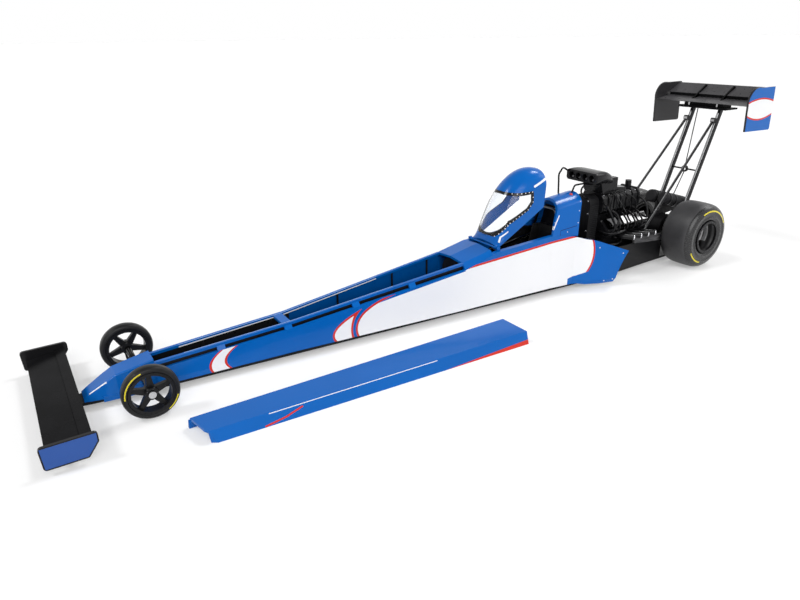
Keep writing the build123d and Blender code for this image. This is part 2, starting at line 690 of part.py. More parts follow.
# Injector hat: a domed scoop with four ports across its front, on a boxed neck
HAT_STATIONS = (  # x, width, middle height, height, corner radius
    (rear(74.6), 22.6, up(58.4), 5.8, 1.6),
    (rear(65.0), 20.4, up(58.0), 6.6, 3.0),
    (rear(55.0), 12.0, up(54.4), 4.2, 1.8),
)
HAT_PORTS = 4
HAT_PORT_PITCH = 4.9
HAT_PORT_R = 1.9
HAT_PORT_DEPTH = 2.4
NECK_BACK, NECK_FRONT = rear(45.0), rear(64.0)
NECK_HALF = 7.0
with BuildPart() as injector_hat:
    for x, width, z, height, corner in HAT_STATIONS:
        with BuildSketch(cross_plane(x)):
            with Locations((0, z)):
                RectangleRounded(width, height, corner)
    loft()
    neck_outline = (
        (NECK_BACK, SUPER_TOP + SEAT_GAP),
        (NECK_FRONT, SUPER_TOP + SEAT_GAP),
        (NECK_FRONT + 2.0, up(55.0)),
        (rear(61.0), up(57.0)),
        (rear(52.7), up(56.8)),
        (rear(52.7), up(51.2)),
        (NECK_BACK, up(50.2)),
    )
    extrude(profile(side_plane(0), neck_outline), amount=NECK_HALF, both=True)
    with BuildSketch(Plane(origin=(HAT_STATIONS[0][0], 0, HAT_STATIONS[0][2]), x_dir=(0, 1, 0), z_dir=(1, 0, 0))):
        with GridLocations(HAT_PORT_PITCH, 1, HAT_PORTS, 1):
            Circle(HAT_PORT_R)
    extrude(amount=-HAT_PORT_DEPTH, mode=Mode.SUBTRACT)
save("injector_hat", injector_hat.part)

# Belt drive: two pulleys, the belt round them, and the guard ahead of it
PULLEYS = ((up(14.0), 3.6), (up(42.4), 4.2))  # height, radius
BELT_T = 0.9
BELT_W = 6.0
HUB_R = 2.0
GUARD_GAP = 1.0
GUARD_T = 1.4
GUARD_MARGIN = 2.0
drive_back = ENGINE_FRONT + SEAT_GAP
guard_x = drive_back + BELT_W + GUARD_GAP


def pulley_hull(x, margin):
    """Outline that goes round both pulleys, larger by a margin."""
    with BuildSketch(cross_plane(x)) as section:
        for z, radius in PULLEYS:
            with Locations((0, z)):
                Circle(radius + margin)
        make_hull()
    return section.sketch


with BuildPart() as belt_drive:
    extrude(pulley_hull(drive_back, BELT_T), amount=BELT_W)
    extrude(pulley_hull(drive_back, 0), amount=BELT_W, mode=Mode.SUBTRACT)
    for z, radius in PULLEYS:
        rod((drive_back, 0, z), (drive_back + BELT_W, 0, z), radius)
        rod((drive_back, 0, z), (guard_x + GUARD_T, 0, z), HUB_R)
    extrude(pulley_hull(guard_x, GUARD_MARGIN), amount=GUARD_T)
save("belt_drive", belt_drive.part)

# Headers: four short swept-back pipes a side, open at the end
PIPE_R = 1.4
PIPE_BORE = 1.0
PIPE_MOUTH = 2.5
PIPE_BEND = 3.0
PIPE_ELBOW_Y = 14.2
PIPE_END = (-6.0, 18.4, up(23.2))  # back from the port, half width, height
for side_name, side in SIDES:
    with BuildPart() as header:
        for x in PORT_X:
            start = (x, side * (PORT_FACE_Y + SEAT_GAP), PORT_Z)
            elbow = (x, side * PIPE_ELBOW_Y, PORT_Z)
            end = (x + PIPE_END[0], side * PIPE_END[1], PIPE_END[2])
            pipe((start, elbow, end), PIPE_BEND, PIPE_R, PIPE_BORE, PIPE_MOUTH)
    save(f"header_{side_name}", header.part)

# Fuel lines: formed wires from the injector hat to the shroud and to the belt guard
LINE_LIFT = 0.3
FUEL_LINES = (
    ((rear(74.9), -10.0, up(60.2)), (rear(79.4), -9.8, up(62.6)), (rear(84.0), -8.2, up(59.6)), (rear(85.0), -6.4, 0)),
    ((rear(65.9), 0.6, up(53.2)), (rear(73.0), 0.4, up(54.4)), (rear(80.8), 1.2, up(54.6)), (rear(83.2), 1.8, 0)),
)
GUARD_LINE = (
    (rear(65.9), 4.2, up(53.2)),
    (rear(76.6), 4.2, up(54.7)),
    (rear(79.2), 4.2, up(52.0)),
    (rear(76.2), 3.8, up(48.2)),
    (guard_x + GUARD_T + LINE_LIFT - SEAT_GAP, 3.4, up(46.6)),
)
FUEL_BEND = 2.2
SHROUD_ARC_R = (SHROUD_SHOULDER ** 2 + SHOULDER_DROP ** 2) / (2 * SHOULDER_DROP)


def shroud_top(x, y):
    """Height of the shroud's rounded top at x and y."""
    return shroud_crown(x) - SHROUD_ARC_R + (SHROUD_ARC_R ** 2 - y ** 2) ** 0.5


with BuildPart() as fuel_lines:
    for *points, end in FUEL_LINES:
        x, y, z = end
        pipe((*points, (x, y, shroud_top(x, y) + LINE_LIFT)), FUEL_BEND, FUEL_LINE_R)
    pipe(GUARD_LINE, FUEL_BEND, FUEL_LINE_R)
save("fuel_lines", fuel_lines.part)

# Rear skirts beside the engine, each with a side bar along its top
SIDE_BAR_H = 4.0
SIDE_BAR_PROUD = 0.6
SKIRT_STATIONS = (  # x, half width, top
    (rear(60.0), 14.8, up(18.0)),
    (rear(41.0), 14.0, up(17.6)),
    (rear(13.0), rear_inner_y - SIDE_CLEARANCE - SIDE_BAR_PROUD, up(14.8)),
)
SIDE_BAR_SINK = 0.3
for side_name, side in SIDES:
    with BuildPart() as rear_skirt:
        walls = []
        for x, half, top in SKIRT_STATIONS:
            corners = ((half, PAN_T), (half, top), (half - WALL, top), (half - WALL, PAN_T))
            walls.append(profile(cross_plane(x), [(side * y, z) for y, z in corners]))
        loft(walls, ruled=True)
        bars = []
        for x, half, top in SKIRT_STATIONS[1:]:
            outer = half + SIDE_BAR_PROUD
            low, high = top - SIDE_BAR_SINK, top + SIDE_BAR_H
            corners = ((outer, low), (outer, high), (half - WALL, high), (half - WALL, low))
            bars.append(profile(cross_plane(x), [(side * y, z) for y, z in corners]))
        loft(bars, ruled=True)
    save(f"rear_skirt_{side_name}", rear_skirt.part)

# Rear axle housing between the strut brackets
STRUT_INSET = 4.2
BRACKET_R = 5.6
BRACKET_T = 2.0
DIFF_R = 7.5
DIFF_SHARE = 0.6
STRUT_Y = rear_inner_y - STRUT_INSET
HOUSING_HALF = rear_inner_y - SIDE_CLEARANCE
DIFF_HALF = STRUT_Y * DIFF_SHARE
with BuildPart() as rear_housing:
    rod((REAR_X, -HOUSING_HALF, AXLE_REAR_Z), (REAR_X, HOUSING_HALF, AXLE_REAR_Z), REAR_HOUSING_R)
    rod((REAR_X, -DIFF_HALF, AXLE_REAR_Z), (REAR_X, DIFF_HALF, AXLE_REAR_Z), DIFF_R)
    fillet(rear_housing.edges().filter_by(GeomType.CIRCLE).sort_by(SortBy.RADIUS)[-2:], 1.0)
    with BuildSketch(Plane(origin=(REAR_X, 0, AXLE_REAR_Z), z_dir=(0, 1, 0))):
        Circle(REAR_SHAFT_R + RUNNING_CLEARANCE)
    extrude(amount=REAR_TRACK, both=True, mode=Mode.SUBTRACT)
save("rear_housing", rear_housing.part)

# Rear axle shaft, wheels and tyres, which turn as one
REAR_HUB_R = 3.2
REAR_RIM_T = 0.8
REAR_LIP_R = 8.2
REAR_LIP_T = 1.2
REAR_DISC_T = 2.0
REAR_DISH = 9.0
REAR_HUB_T = 2.4
REAR_TYRE_ROUND = 3.4
DISC_HOLES = 8
DISC_HOLE_R = 1.1
DISC_HOLE_AT = 5.9
DISC_OUTER_Y = rear_outer_y - REAR_DISH
with BuildPart() as rear_axle:
    rod((REAR_X, -DISC_OUTER_Y, AXLE_REAR_Z), (REAR_X, DISC_OUTER_Y, AXLE_REAR_Z), REAR_SHAFT_R)
save("rear_axle", rear_axle.part)

for side_name, side in SIDES:
    wheel_plane = Plane(origin=(REAR_X, side * REAR_TRACK / 2, AXLE_REAR_Z), z_dir=(0, side, 0))
    disc_plane = Plane(origin=(REAR_X, side * DISC_OUTER_Y, AXLE_REAR_Z), z_dir=(0, side, 0))
    face_plane = Plane(origin=(REAR_X, side * rear_outer_y, AXLE_REAR_Z), z_dir=(0, side, 0))
    with BuildPart() as rear_wheel:
        with BuildSketch(wheel_plane):
            Circle(REAR_RIM_R)
            Circle(REAR_RIM_R - REAR_RIM_T, mode=Mode.SUBTRACT)
        extrude(amount=REAR_TYRE_W / 2, both=True)
        with BuildSketch(face_plane):
            Circle(REAR_RIM_R)
            Circle(REAR_LIP_R, mode=Mode.SUBTRACT)
        extrude(amount=-REAR_LIP_T)
        with BuildSketch(disc_plane):
            Circle(REAR_RIM_R - REAR_RIM_T / 2)
            with PolarLocations(DISC_HOLE_AT, DISC_HOLES):
                Circle(DISC_HOLE_R, mode=Mode.SUBTRACT)
        extrude(amount=-REAR_DISC_T)
        with BuildSketch(disc_plane):
            Circle(REAR_HUB_R)
        extrude(amount=REAR_HUB_T)
        with BuildSketch(disc_plane):
            Circle(REAR_SHAFT_R)
        extrude(amount=-2 * REAR_DISC_T, mode=Mode.SUBTRACT)
    save(f"rear_wheel_{side_name}", rear_wheel.part)

    with BuildPart() as rear_tyre:
        with BuildSketch(wheel_plane):
            Circle(REAR_TYRE_R)
        extrude(amount=REAR_TYRE_W / 2, both=True)
        fillet(rear_tyre.edges(), REAR_TYRE_ROUND)
        with BuildSketch(wheel_plane):
            Circle(REAR_RIM_R)
        extrude(amount=REAR_TYRE_W, both=True, mode=Mode.SUBTRACT)
    save(f"rear_tyre_{side_name}", rear_tyre.part)

# Rear frame tubes from the firewall to the brackets
FRAME_FRONT = (FIREWALL_X - SEAT_GAP, 12.2, up(13.0))
FRAME_MIDDLE = (rear(29.0), STRUT_Y / 2 + 5.7, up(16.2))
FRAME_BACK = (REAR_X + BRACKET_R + 0.2, STRUT_Y, AXLE_REAR_Z - 1.8)
FRAME_BEND = 12.0
for side_name, side in SIDES:
    with BuildPart() as frame_tube:
        points = [(x, side * y, z) for x, y, z in (FRAME_FRONT, FRAME_MIDDLE, FRAME_BACK)]
        pipe(points, FRAME_BEND, FRAME_TUBE_R)
    save(f"frame_tube_{side_name}", frame_tube.part)

# Streamlined wing struts with their axle brackets and stay lugs
STRUT_CHORD = 4.0
STRUT_T = 1.7
STRUT_FOOT = (rear(-5.0), up(20.0))
STRUT_TOP = (rear(-31.0), up(90.6))
MOUNT_LOW = up(88.6)
LUG = (rear(-24.4), up(82.4))
LUG_R = 1.5
LUG_W = 2.6
strut_line = Vector(STRUT_TOP[0] - STRUT_FOOT[0], 0, STRUT_TOP[1] - STRUT_FOOT[1])
lug_share = (LUG[1] - STRUT_FOOT[1]) / (STRUT_TOP[1] - STRUT_FOOT[1])
lug_root_x = between(STRUT_FOOT[0], STRUT_TOP[0], lug_share)
for side_name, side in SIDES:
    with BuildPart() as strut:
        bracket_plane = Plane(origin=(REAR_X, side * STRUT_Y, AXLE_REAR_Z), z_dir=(0, 1, 0))
        with BuildSketch(bracket_plane):
            Circle(BRACKET_R)
        extrude(amount=BRACKET_T / 2, both=True)
        foot = (STRUT_FOOT[0], side * STRUT_Y, STRUT_FOOT[1])
        chord_way = Vector(0, 1, 0).cross(strut_line)
        with BuildSketch(Plane(origin=foot, x_dir=chord_way, z_dir=strut_line)):
            SlotOverall(STRUT_CHORD, STRUT_T)
        extrude(amount=strut_line.length)
        split(bisect_by=Plane.XY.offset(MOUNT_LOW - SEAT_GAP), keep=Keep.BOTTOM)
        with Locations(((LUG[0] + lug_root_x) / 2, side * STRUT_Y, LUG[1])):
            Box(LUG[0] - lug_root_x, STRUT_T, LUG_R)
        lug_ends = [(LUG[0], side * STRUT_Y + way * LUG_W / 2, LUG[1]) for way in (-1, 1)]
        rod(*lug_ends, LUG_R)
        with BuildSketch(bracket_plane):
            Circle(REAR_HOUSING_R)
        extrude(amount=BRACKET_T * 2, both=True, mode=Mode.SUBTRACT)
    save(f"strut_{side_name}", strut.part)

# Diagonal stays from the frame tubes to the strut lugs
STAY_X = rear(34.4)
STAY_OUT, STAY_UP = 0.88, 1.64
stay_share = (FRAME_FRONT[0] - STAY_X) / (FRAME_FRONT[0] - FRAME_MIDDLE[0])
STAY_FOOT = (
    STAY_X,
    between(FRAME_FRONT[1], FRAME_MIDDLE[1], stay_share) + STAY_OUT,
    between(FRAME_FRONT[2], FRAME_MIDDLE[2], stay_share) + STAY_UP,
)
for side_name, side in SIDES:
    with BuildPart() as stay:
        start = Vector(STAY_FOOT[0], side * STAY_FOOT[1], STAY_FOOT[2])
        way = (Vector(LUG[0], side * STRUT_Y, LUG[1]) - start).normalized()
        end = Vector(LUG[0], side * STRUT_Y, LUG[1]) - way * (LUG_R + SEAT_GAP)
        rod(tuple(start), tuple(end), STAY_R)
    save(f"stay_{side_name}", stay.part)

# Cross link between the struts, with its ring, the two cables and a pair of parachute packs
LINK_SHARE = 0.464
LINK_R = 0.5
RING_R, RING_BORE, RING_W = 2.0, 1.1, 1.6
CABLE_R = 0.3
CABLE_TOP = (rear(-26.0), -3.4, MOUNT_LOW - 2 * SEAT_GAP)
PACK_FRONT = (rear(7.0), up(38.2))
PACK_BACK = (rear(-14.0), up(32.4))
PACK_MIDDLE_GAP = 1.0
PACK_ROUND = 1.2
with BuildPart() as strut_brace:
    link_x = between(STRUT_FOOT[0], STRUT_TOP[0], LINK_SHARE)
    link_z = between(STRUT_FOOT[1], STRUT_TOP[1], LINK_SHARE)
    half = STRUT_Y - STRUT_T / 2 - SEAT_GAP
    rod((link_x, -half, link_z), (link_x, half, link_z), LINK_R)
    rod((link_x - RING_W / 2, 0, link_z), (link_x + RING_W / 2, 0, link_z), RING_R)
    with BuildSketch(Plane(origin=(link_x, 0, link_z), z_dir=(1, 0, 0))):
        Circle(RING_BORE)
    extrude(amount=RING_W, both=True, mode=Mode.SUBTRACT)
    ring_top = Vector(link_x, 0, link_z + (RING_R + RING_BORE) / 2)
    ring_low = Vector(link_x, 0, link_z - (RING_R + RING_BORE) / 2)
    rod(tuple(ring_top), CABLE_TOP, CABLE_R)
    down = (Vector(REAR_X, 0, AXLE_REAR_Z) - ring_low).normalized()
    cable_end = Vector(REAR_X, 0, AXLE_REAR_Z) - down * (DIFF_R + 2 * SEAT_GAP)
    rod(tuple(ring_low), tuple(cable_end), CABLE_R)
    pack_r = (half - PACK_MIDDLE_GAP / 2) / 2
    pack_y = PACK_MIDDLE_GAP / 2 + pack_r
    for side_name, side in SIDES:
        ends = [(x, side * pack_y, z) for x, z in (PACK_FRONT, PACK_BACK)]
        rod(*ends, pack_r)
    fillet(strut_brace.edges().filter_by(GeomType.CIRCLE).sort_by(SortBy.RADIUS)[-4:], PACK_ROUND)
save("strut_brace", strut_brace.part)

# Rear wing: main plane, flap, mount, ribs and end plates
WING_LEAD = (rear(-21.0), up(92.4))
WING_TAIL = (rear(-33.0), up(94.6))
WING_BELLY = 1.6
FLAP_LEAD = (rear(-32.4), up(96.2))
FLAP_TAIL = (rear(-42.6), up(101.6))
FLAP_BELLY = 1.3
with BuildPart() as rear_wing:
    with BuildSketch(side_plane(0)):
        with BuildLine():
            Line(WING_LEAD, WING_TAIL)
            belly = ((WING_LEAD[0] + WING_TAIL[0]) / 2, (WING_LEAD[1] + WING_TAIL[1]) / 2 - WING_BELLY)
            ThreePointArc(WING_TAIL, belly, WING_LEAD)
        make_face()
    extrude(amount=REAR_SPAN / 2, both=True)
save("rear_wing", rear_wing.part)

with BuildPart() as rear_flap:
    with BuildSketch(side_plane(0)):
        with BuildLine():
            Line(FLAP_LEAD, FLAP_TAIL)
            belly = ((FLAP_LEAD[0] + FLAP_TAIL[0]) / 2 + 0.6, (FLAP_LEAD[1] + FLAP_TAIL[1]) / 2 - FLAP_BELLY)
            ThreePointArc(FLAP_TAIL, belly, FLAP_LEAD)
        make_face()
    extrude(amount=REAR_SPAN / 2, both=True)
save("rear_flap", rear_flap.part)

REAR_PLATE = (  # x, height
    (rear(-31.0), up(102.0)),
    (rear(-44.4), up(102.2)),
    (rear(-46.2), up(77.7)),
    (rear(-21.7), up(78.1)),
    (rear(-20.4), up(95.0)),
)
REAR_PLATE_ARC = (rear(-23.6), up(100.4))
REAR_PLATE_R = 1.2
for side_name, side in SIDES:
    with BuildPart() as rear_end_plate:
        with BuildSketch(side_plane(side * REAR_SPAN / 2)) as section:
            with BuildLine():
                Polyline(*REAR_PLATE)
                ThreePointArc(REAR_PLATE[-1], REAR_PLATE_ARC, REAR_PLATE[0])
            make_face()
            fillet(section.vertices().group_by(Axis.Y)[0], REAR_PLATE_R)
        extrude(amount=-side * PLATE_T)
    save(f"rear_end_plate_{side_name}", rear_end_plate.part)

MOUNT_HALF = 16.0
MOUNT_OUTLINE = (
    (rear(-24.0), MOUNT_LOW),
    (rear(-36.0), MOUNT_LOW),
    (rear(-36.0), up(89.6)),
    (rear(-24.0), up(90.0)),
)
with BuildPart() as wing_mount:
    extrude(profile(side_plane(0), MOUNT_OUTLINE), amount=MOUNT_HALF, both=True)
save("wing_mount", wing_mount.part)

RIB_T = 1.0
RIB_Y = 9.4
RIB_LOWER = ((rear(-25), up(89.2)), (rear(-25), up(92.6)), (rear(-31), up(93.4)), (rear(-31), up(89.2)))
RIB_UPPER = ((rear(-27), up(93.2)), (rear(-39.6), up(101.4)), (rear(-40.6), up(100.2)), (rear(-33), up(94.4)))
with BuildPart() as wing_ribs:
    for outline in (RIB_LOWER, RIB_UPPER):
        for side_name, side in SIDES:
            extrude(profile(side_plane(side * RIB_Y), outline), amount=RIB_T / 2, both=True)
    for piece in (rear_wing, rear_flap, wing_mount):
        add(piece.part, mode=Mode.SUBTRACT)
save("wing_ribs", wing_ribs.part)

# Removable body panel, taken off and laid on the floor at the left side
PANEL_T = 1.0
PANEL_FLANGE = 1.8
PANEL_STATIONS = (  # x, middle, half width of the top, crown height
    (NOSE_BACK - 3.0, 44.7, 6.1, 4.6),
    (COWL_FRONT - 6.0, 43.6, 8.4, 5.8),
)
PANEL_CUT = (  # back from the front end, half width
    (-1.0, -6.4),
    (0.6, -6.4),
    (2.8, 4.2),
    (4.2, 6.6),
    (7.0, 8.4),
    (7.0, 10.0),
    (-1.0, 10.0),
)
with BuildPart() as body_panel:
    sections = []
    for x, middle, half, crown in PANEL_STATIONS:
        foot = half + PANEL_FLANGE
        outer = [(foot, up(0)), (half, up(crown))]
        inner = [(foot - 1.4 * PANEL_T, up(0)), (half - 0.4 * PANEL_T, up(crown) - PANEL_T)]
        outline = mirrored(outer) + [(-y, z) for y, z in inner] + list(reversed(inner))
        sections.append(profile(cross_plane(x), [(middle + y, z) for y, z in outline]))
    loft(sections, ruled=True)
    front_x, front_y, half, crown = PANEL_STATIONS[0]
    corner = [(front_x - back, front_y + y) for back, y in PANEL_CUT]
    extrude(profile(Plane.XY.offset(up(-1)), corner), amount=crown + 4, mode=Mode.SUBTRACT)
save("body_panel", body_panel.part)
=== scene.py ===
"""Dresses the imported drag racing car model: finishes, bands of colour, rubber, fasteners and a plain studio.

Tables are in millimetres: x forward from the rear axle, y to the left, z up from the floor. rear() and up()
bring them into the model's own frame, and add_mesh() turns millimetres into metres.
"""
import math
from functools import partialmethod

import bmesh
import bpy
from mathutils import Matrix, Vector


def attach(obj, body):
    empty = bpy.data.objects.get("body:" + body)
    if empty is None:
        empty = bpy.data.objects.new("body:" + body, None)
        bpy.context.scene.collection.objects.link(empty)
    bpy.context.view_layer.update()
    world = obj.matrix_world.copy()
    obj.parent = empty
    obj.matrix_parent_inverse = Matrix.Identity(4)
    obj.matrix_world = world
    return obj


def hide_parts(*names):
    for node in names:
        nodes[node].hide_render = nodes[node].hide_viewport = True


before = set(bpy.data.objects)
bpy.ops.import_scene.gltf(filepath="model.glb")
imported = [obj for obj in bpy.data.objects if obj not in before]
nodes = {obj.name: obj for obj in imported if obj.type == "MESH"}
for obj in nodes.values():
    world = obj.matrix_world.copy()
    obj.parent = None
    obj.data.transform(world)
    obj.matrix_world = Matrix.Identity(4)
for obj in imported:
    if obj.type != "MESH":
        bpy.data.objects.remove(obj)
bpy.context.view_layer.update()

MM = 0.001
WHEELBASE = 317.5
GROUND = 2.4  # height of the model's origin above the floor
REAR_X = -WHEELBASE / 2
FRONT_TYRE_R, FRONT_TYRE_W, FRONT_TRACK = 10.6, 4.8, 44.6
REAR_TYRE_R, REAR_TYRE_W, REAR_TRACK = 19.3, 20.4, 47.2
HINGE_X, HINGE_Z = 142.5, 31.8
CANOPY_OPEN = math.radians(25.7)
SIDES = (("left", 1), ("right", -1))

BLUE = (0.0, 0.116, 0.46)
BLUE_DEEP = (0.0, 0.108, 0.43)
WHITE = (0.86, 0.865, 0.885)
RED = (0.62, 0.036, 0.022)
YELLOW = (0.72, 0.6, 0.03)
BLACK = (0.008, 0.008, 0.009)
# PLATE_BLACK: black lightened as painted sheen, for the insides of the rear end plates
PLATE_BLACK = (0.028, 0.027, 0.029)
PLATE_BLUE = (0.03, 0.095, 0.35)
PLATE_BLUE_DEEP = (0.028, 0.088, 0.33)
SEAM = (0.0, 0.02, 0.12)
RAIL_LINE = (0.3, 0.42, 0.66)


def rear(distance):
    """X of a place measured forward from the rear axle."""
    return REAR_X + distance


def up(height):
    """Z of a height above the floor."""
    return height - GROUND


def add_object(name, data):
    """A new object in the scene."""
    item = bpy.data.objects.new(name, data)
    bpy.context.collection.objects.link(item)
    return item


# Camera

CAMERA_AT = Vector((190.65, 249.6, 130.2)) * MM
CAMERA_AZIMUTH = math.radians(58.105)
CAMERA_ELEVATION = math.radians(22.369)
CAMERA_ROLL = math.radians(-0.6205)
FOCAL_PIXELS, IMAGE_WIDTH, SENSOR = 646.945, 800, 36.0
CLIP_START, CLIP_END = 0.01, 20


def make_camera():
    """The camera at the photograph's viewing angle."""
    data = bpy.data.cameras.new("camera")
    data.sensor_width = SENSOR
    data.sensor_fit = "HORIZONTAL"
    data.lens = FOCAL_PIXELS / IMAGE_WIDTH * SENSOR
    data.clip_start = CLIP_START
    data.clip_end = CLIP_END
    camera = add_object("camera", data)
    swing = Matrix.Rotation(CAMERA_AZIMUTH + math.pi / 2, 4, "Z")
    tip = Matrix.Rotation(math.pi / 2 - CAMERA_ELEVATION, 4, "X")
    matrix = swing @ tip @ Matrix.Rotation(CAMERA_ROLL, 4, "Z")
    matrix.translation = CAMERA_AT
    camera.matrix_world = matrix
    bpy.context.scene.camera = camera


# Shader values as expressions

NOISE_LOW, NOISE_HIGH = 0.3, 0.7  # most of a noise lies between these


class Value:
    """A number that varies over a surface, as a socket of a node tree."""

    def __init__(self, tree, socket):
        self.tree = tree
        self.socket = socket

    def math(self, operation, *others):
        node = self.tree.nodes.new("ShaderNodeMath")
        node.operation = operation
        for place, item in enumerate((self, *others)):
            if isinstance(item, Value):
                self.tree.links.new(item.socket, node.inputs[place])
            else:
                node.inputs[place].default_value = item
        return Value(self.tree, node.outputs[0])

    __add__ = partialmethod(math, "ADD")
    __sub__ = partialmethod(math, "SUBTRACT")
    __mul__ = partialmethod(math, "MULTIPLY")
    __neg__ = partialmethod(math, "MULTIPLY", -1.0)
    __lt__ = partialmethod(math, "LESS_THAN")
    __gt__ = partialmethod(math, "GREATER_THAN")
    __and__ = partialmethod(math, "MULTIPLY")
    __or__ = partialmethod(math, "MAXIMUM")
    at_least = partialmethod(math, "MAXIMUM")
    at_most = partialmethod(math, "MINIMUM")
    size = partialmethod(math, "ABSOLUTE")
    power = partialmethod(math, "POWER")

    def square(self):
        return self.math("MULTIPLY", self)


INPUTS = {"specular": "Specular IOR Level", "ior": "IOR"}


def fill(node, values):
    """Sets inputs of a node, named in small letters with underscores."""
    for name, value in values.items():
        node.inputs[INPUTS.get(name, name.replace("_", " ").title())].default_value = value


class Paint:
    """A procedural material that is built up from a Principled shader."""

    def __init__(self, name):
        self.material = bpy.data.materials.new(name)
        self.material.use_nodes = True
        self.tree = self.material.node_tree
        self.shader = self.tree.nodes["Principled BSDF"]
        coordinates = self.node("TexCoord")
        self.place = coordinates.outputs["Object"]
        self.normal = coordinates.outputs["Normal"]

    def node(self, kind, **inputs):
        node = self.tree.nodes.new(f"ShaderNode{kind}")
        fill(node, inputs)
        return node

    def split(self, socket):
        node = self.node("SeparateXYZ")
        self.tree.links.new(socket, node.inputs[0])
        return [Value(self.tree, out) for out in node.outputs]

    def facing(self):
        """The surface's normal as three values."""
        return self.split(self.normal)

    def millimetres(self):
        """x from the rear axle, y, and height above the floor."""
        x, y, z = self.split(self.place)
        return x * (1 / MM) - REAR_X, y * (1 / MM), z * (1 / MM) + GROUND

    def noise(self, scale, detail=3.0, rough=0.5, stretch=None):
        node = self.node("TexNoise", scale=scale, detail=detail, roughness=rough)
        source = self.place
        if stretch:
            mapping = self.node("Mapping", scale=stretch)
            self.tree.links.new(source, mapping.inputs[0])
            source = mapping.outputs[0]
        self.tree.links.new(source, node.inputs["Vector"])
        return Value(self.tree, node.outputs[0])

    def ramp(self, value, low=0.0, high=1.0):
        """A noise spread from low to high."""
        node = self.node("MapRange", from_min=NOISE_LOW, from_max=NOISE_HIGH, to_min=low, to_max=high)
        self.tree.links.new(value.socket, node.inputs["Value"])
        return Value(self.tree, node.outputs[0])

    def mix(self, mask, below, above):
        """Colour below where the mask is 0, colour above where it is 1."""
        node = self.node("Mix")
        node.data_type = "RGBA"
        self.tree.links.new(mask.socket, node.inputs["Factor"])
        for socket, colour in ((node.inputs[6], below), (node.inputs[7], above)):
            if isinstance(colour, tuple):
                socket.default_value = (*colour, 1)
            else:
                self.tree.links.new(colour, socket)
        return node.outputs[2]

    def drift(self, scale, dark, light):
        """A colour that drifts between two with a noise."""
        return self.mix(self.ramp(self.noise(scale)), dark, light)

    def colour(self, socket):
        self.tree.links.new(socket, self.shader.inputs["Base Color"])

    def bump(self, value, distance, strength):
        node = self.node("Bump", strength=strength, distance=distance)
        self.tree.links.new(value.socket, node.inputs["Height"])
        self.tree.links.new(node.outputs[0], self.shader.inputs["Normal"])

    def done(self, roughness, **settings):
        """The material, with its roughness and other inputs of its shader set."""
        self.tree.links.new(roughness.socket, self.shader.inputs["Roughness"])
        fill(self.shader, settings)
        return self.material


# Masks: values that are 1 on a band or line of colour and 0 elsewhere

SIDEWAYS = 0.5  # least sideways normal times distance from the middle


def outward(paint, y):
    """1 on faces that look away from the middle of the car."""
    return paint.facing()[1] * y > SIDEWAYS


def inward(paint, y):
    """1 on faces that look towards the middle of the car."""
    return paint.facing()[1] * y < -SIDEWAYS


def between(value, low, high):
    return (value > low) & (value < high)


def stroke(offset, half):
    """1 within half a line's width of its middle."""
    return offset.size() < half


def bowed(along_edge, level, bend, place):
    """Place of an edge that bows away from its level."""
    return (along_edge - level).square() * bend + place


def sloped(along_edge, place, slope, height):
    """Height of a straight edge that has this height at this place."""
    return (along_edge - place) * slope + height


def square_to(offset, lean):
    """Distance square to an edge, from the offset along one axis and the edge's lean."""
    return offset * (lean.square() + 1.0).power(-0.5)


def near_run(x, z, points, width):
    """1 within a distance of a run of straight segments."""
    mask = None
    for (ax, az), (bx, bz) in zip(points, points[1:]):
        length = math.hypot(bx - ax, bz - az)
        way_x, way_z = (bx - ax) / length, (bz - az) / length
        reach = (x - ax) * way_x + (z - az) * way_z
        off = (x - ax) * way_z - (z - az) * way_x
        past = (reach.at_least(0.0).at_most(length) - reach).size()
        close = (off.square() + past.square()) < width * width
        mask = close if mask is None else mask | close
    return mask


def arc_mark(across, height, inner, outer, marks):
    """1 on arcs of a wheel's side: each mark is a direction and the cosine of its half angle."""
    radius = (across.square() + height.square()).power(0.5)
    mask = None
    for way_x, way_z, least in marks:
        inside = (across * way_x + height * way_z - radius * least) > 0.0
        mask = inside if mask is None else mask | inside
    return mask & between(radius, inner, outer)


# Bands of colour on the blue paint

FIELD_LEVEL, FIELD_BEND, FIELD_CURL, FIELD_X = 7.0, 0.062, 0.00028, 223.25
BAND_LEVEL, BAND_BEND, BAND_X = 6.3, -0.145, 235.3
FLARE = (23.0, 0.028, 79.5)  # a bowed edge: level, bend and place
PATCH_FRONT, PATCH_BACK = (6.0, -0.14, 291.0), (7.0, -0.16, 284.5)
TOP_AHEAD, TOP_BEHIND = (208.0, -0.137, 18.4), (165.0, -0.067, 25.7)  # sloped edges: place, slope and height
FLARE_LOW, FLARE_FRONT = (84.4, -0.27, 10.0), 95.2
COWL_X, BANDS_FROM, COCKPIT_TO = 164.0, 203.0, 128.0
FIRST_LINE, SECOND_LINE, BAND_FROM = 0.5, 2.95, 3.0  # distances ahead of the white field
LINE_HALF, PIN_HALF = 0.5, 0.55


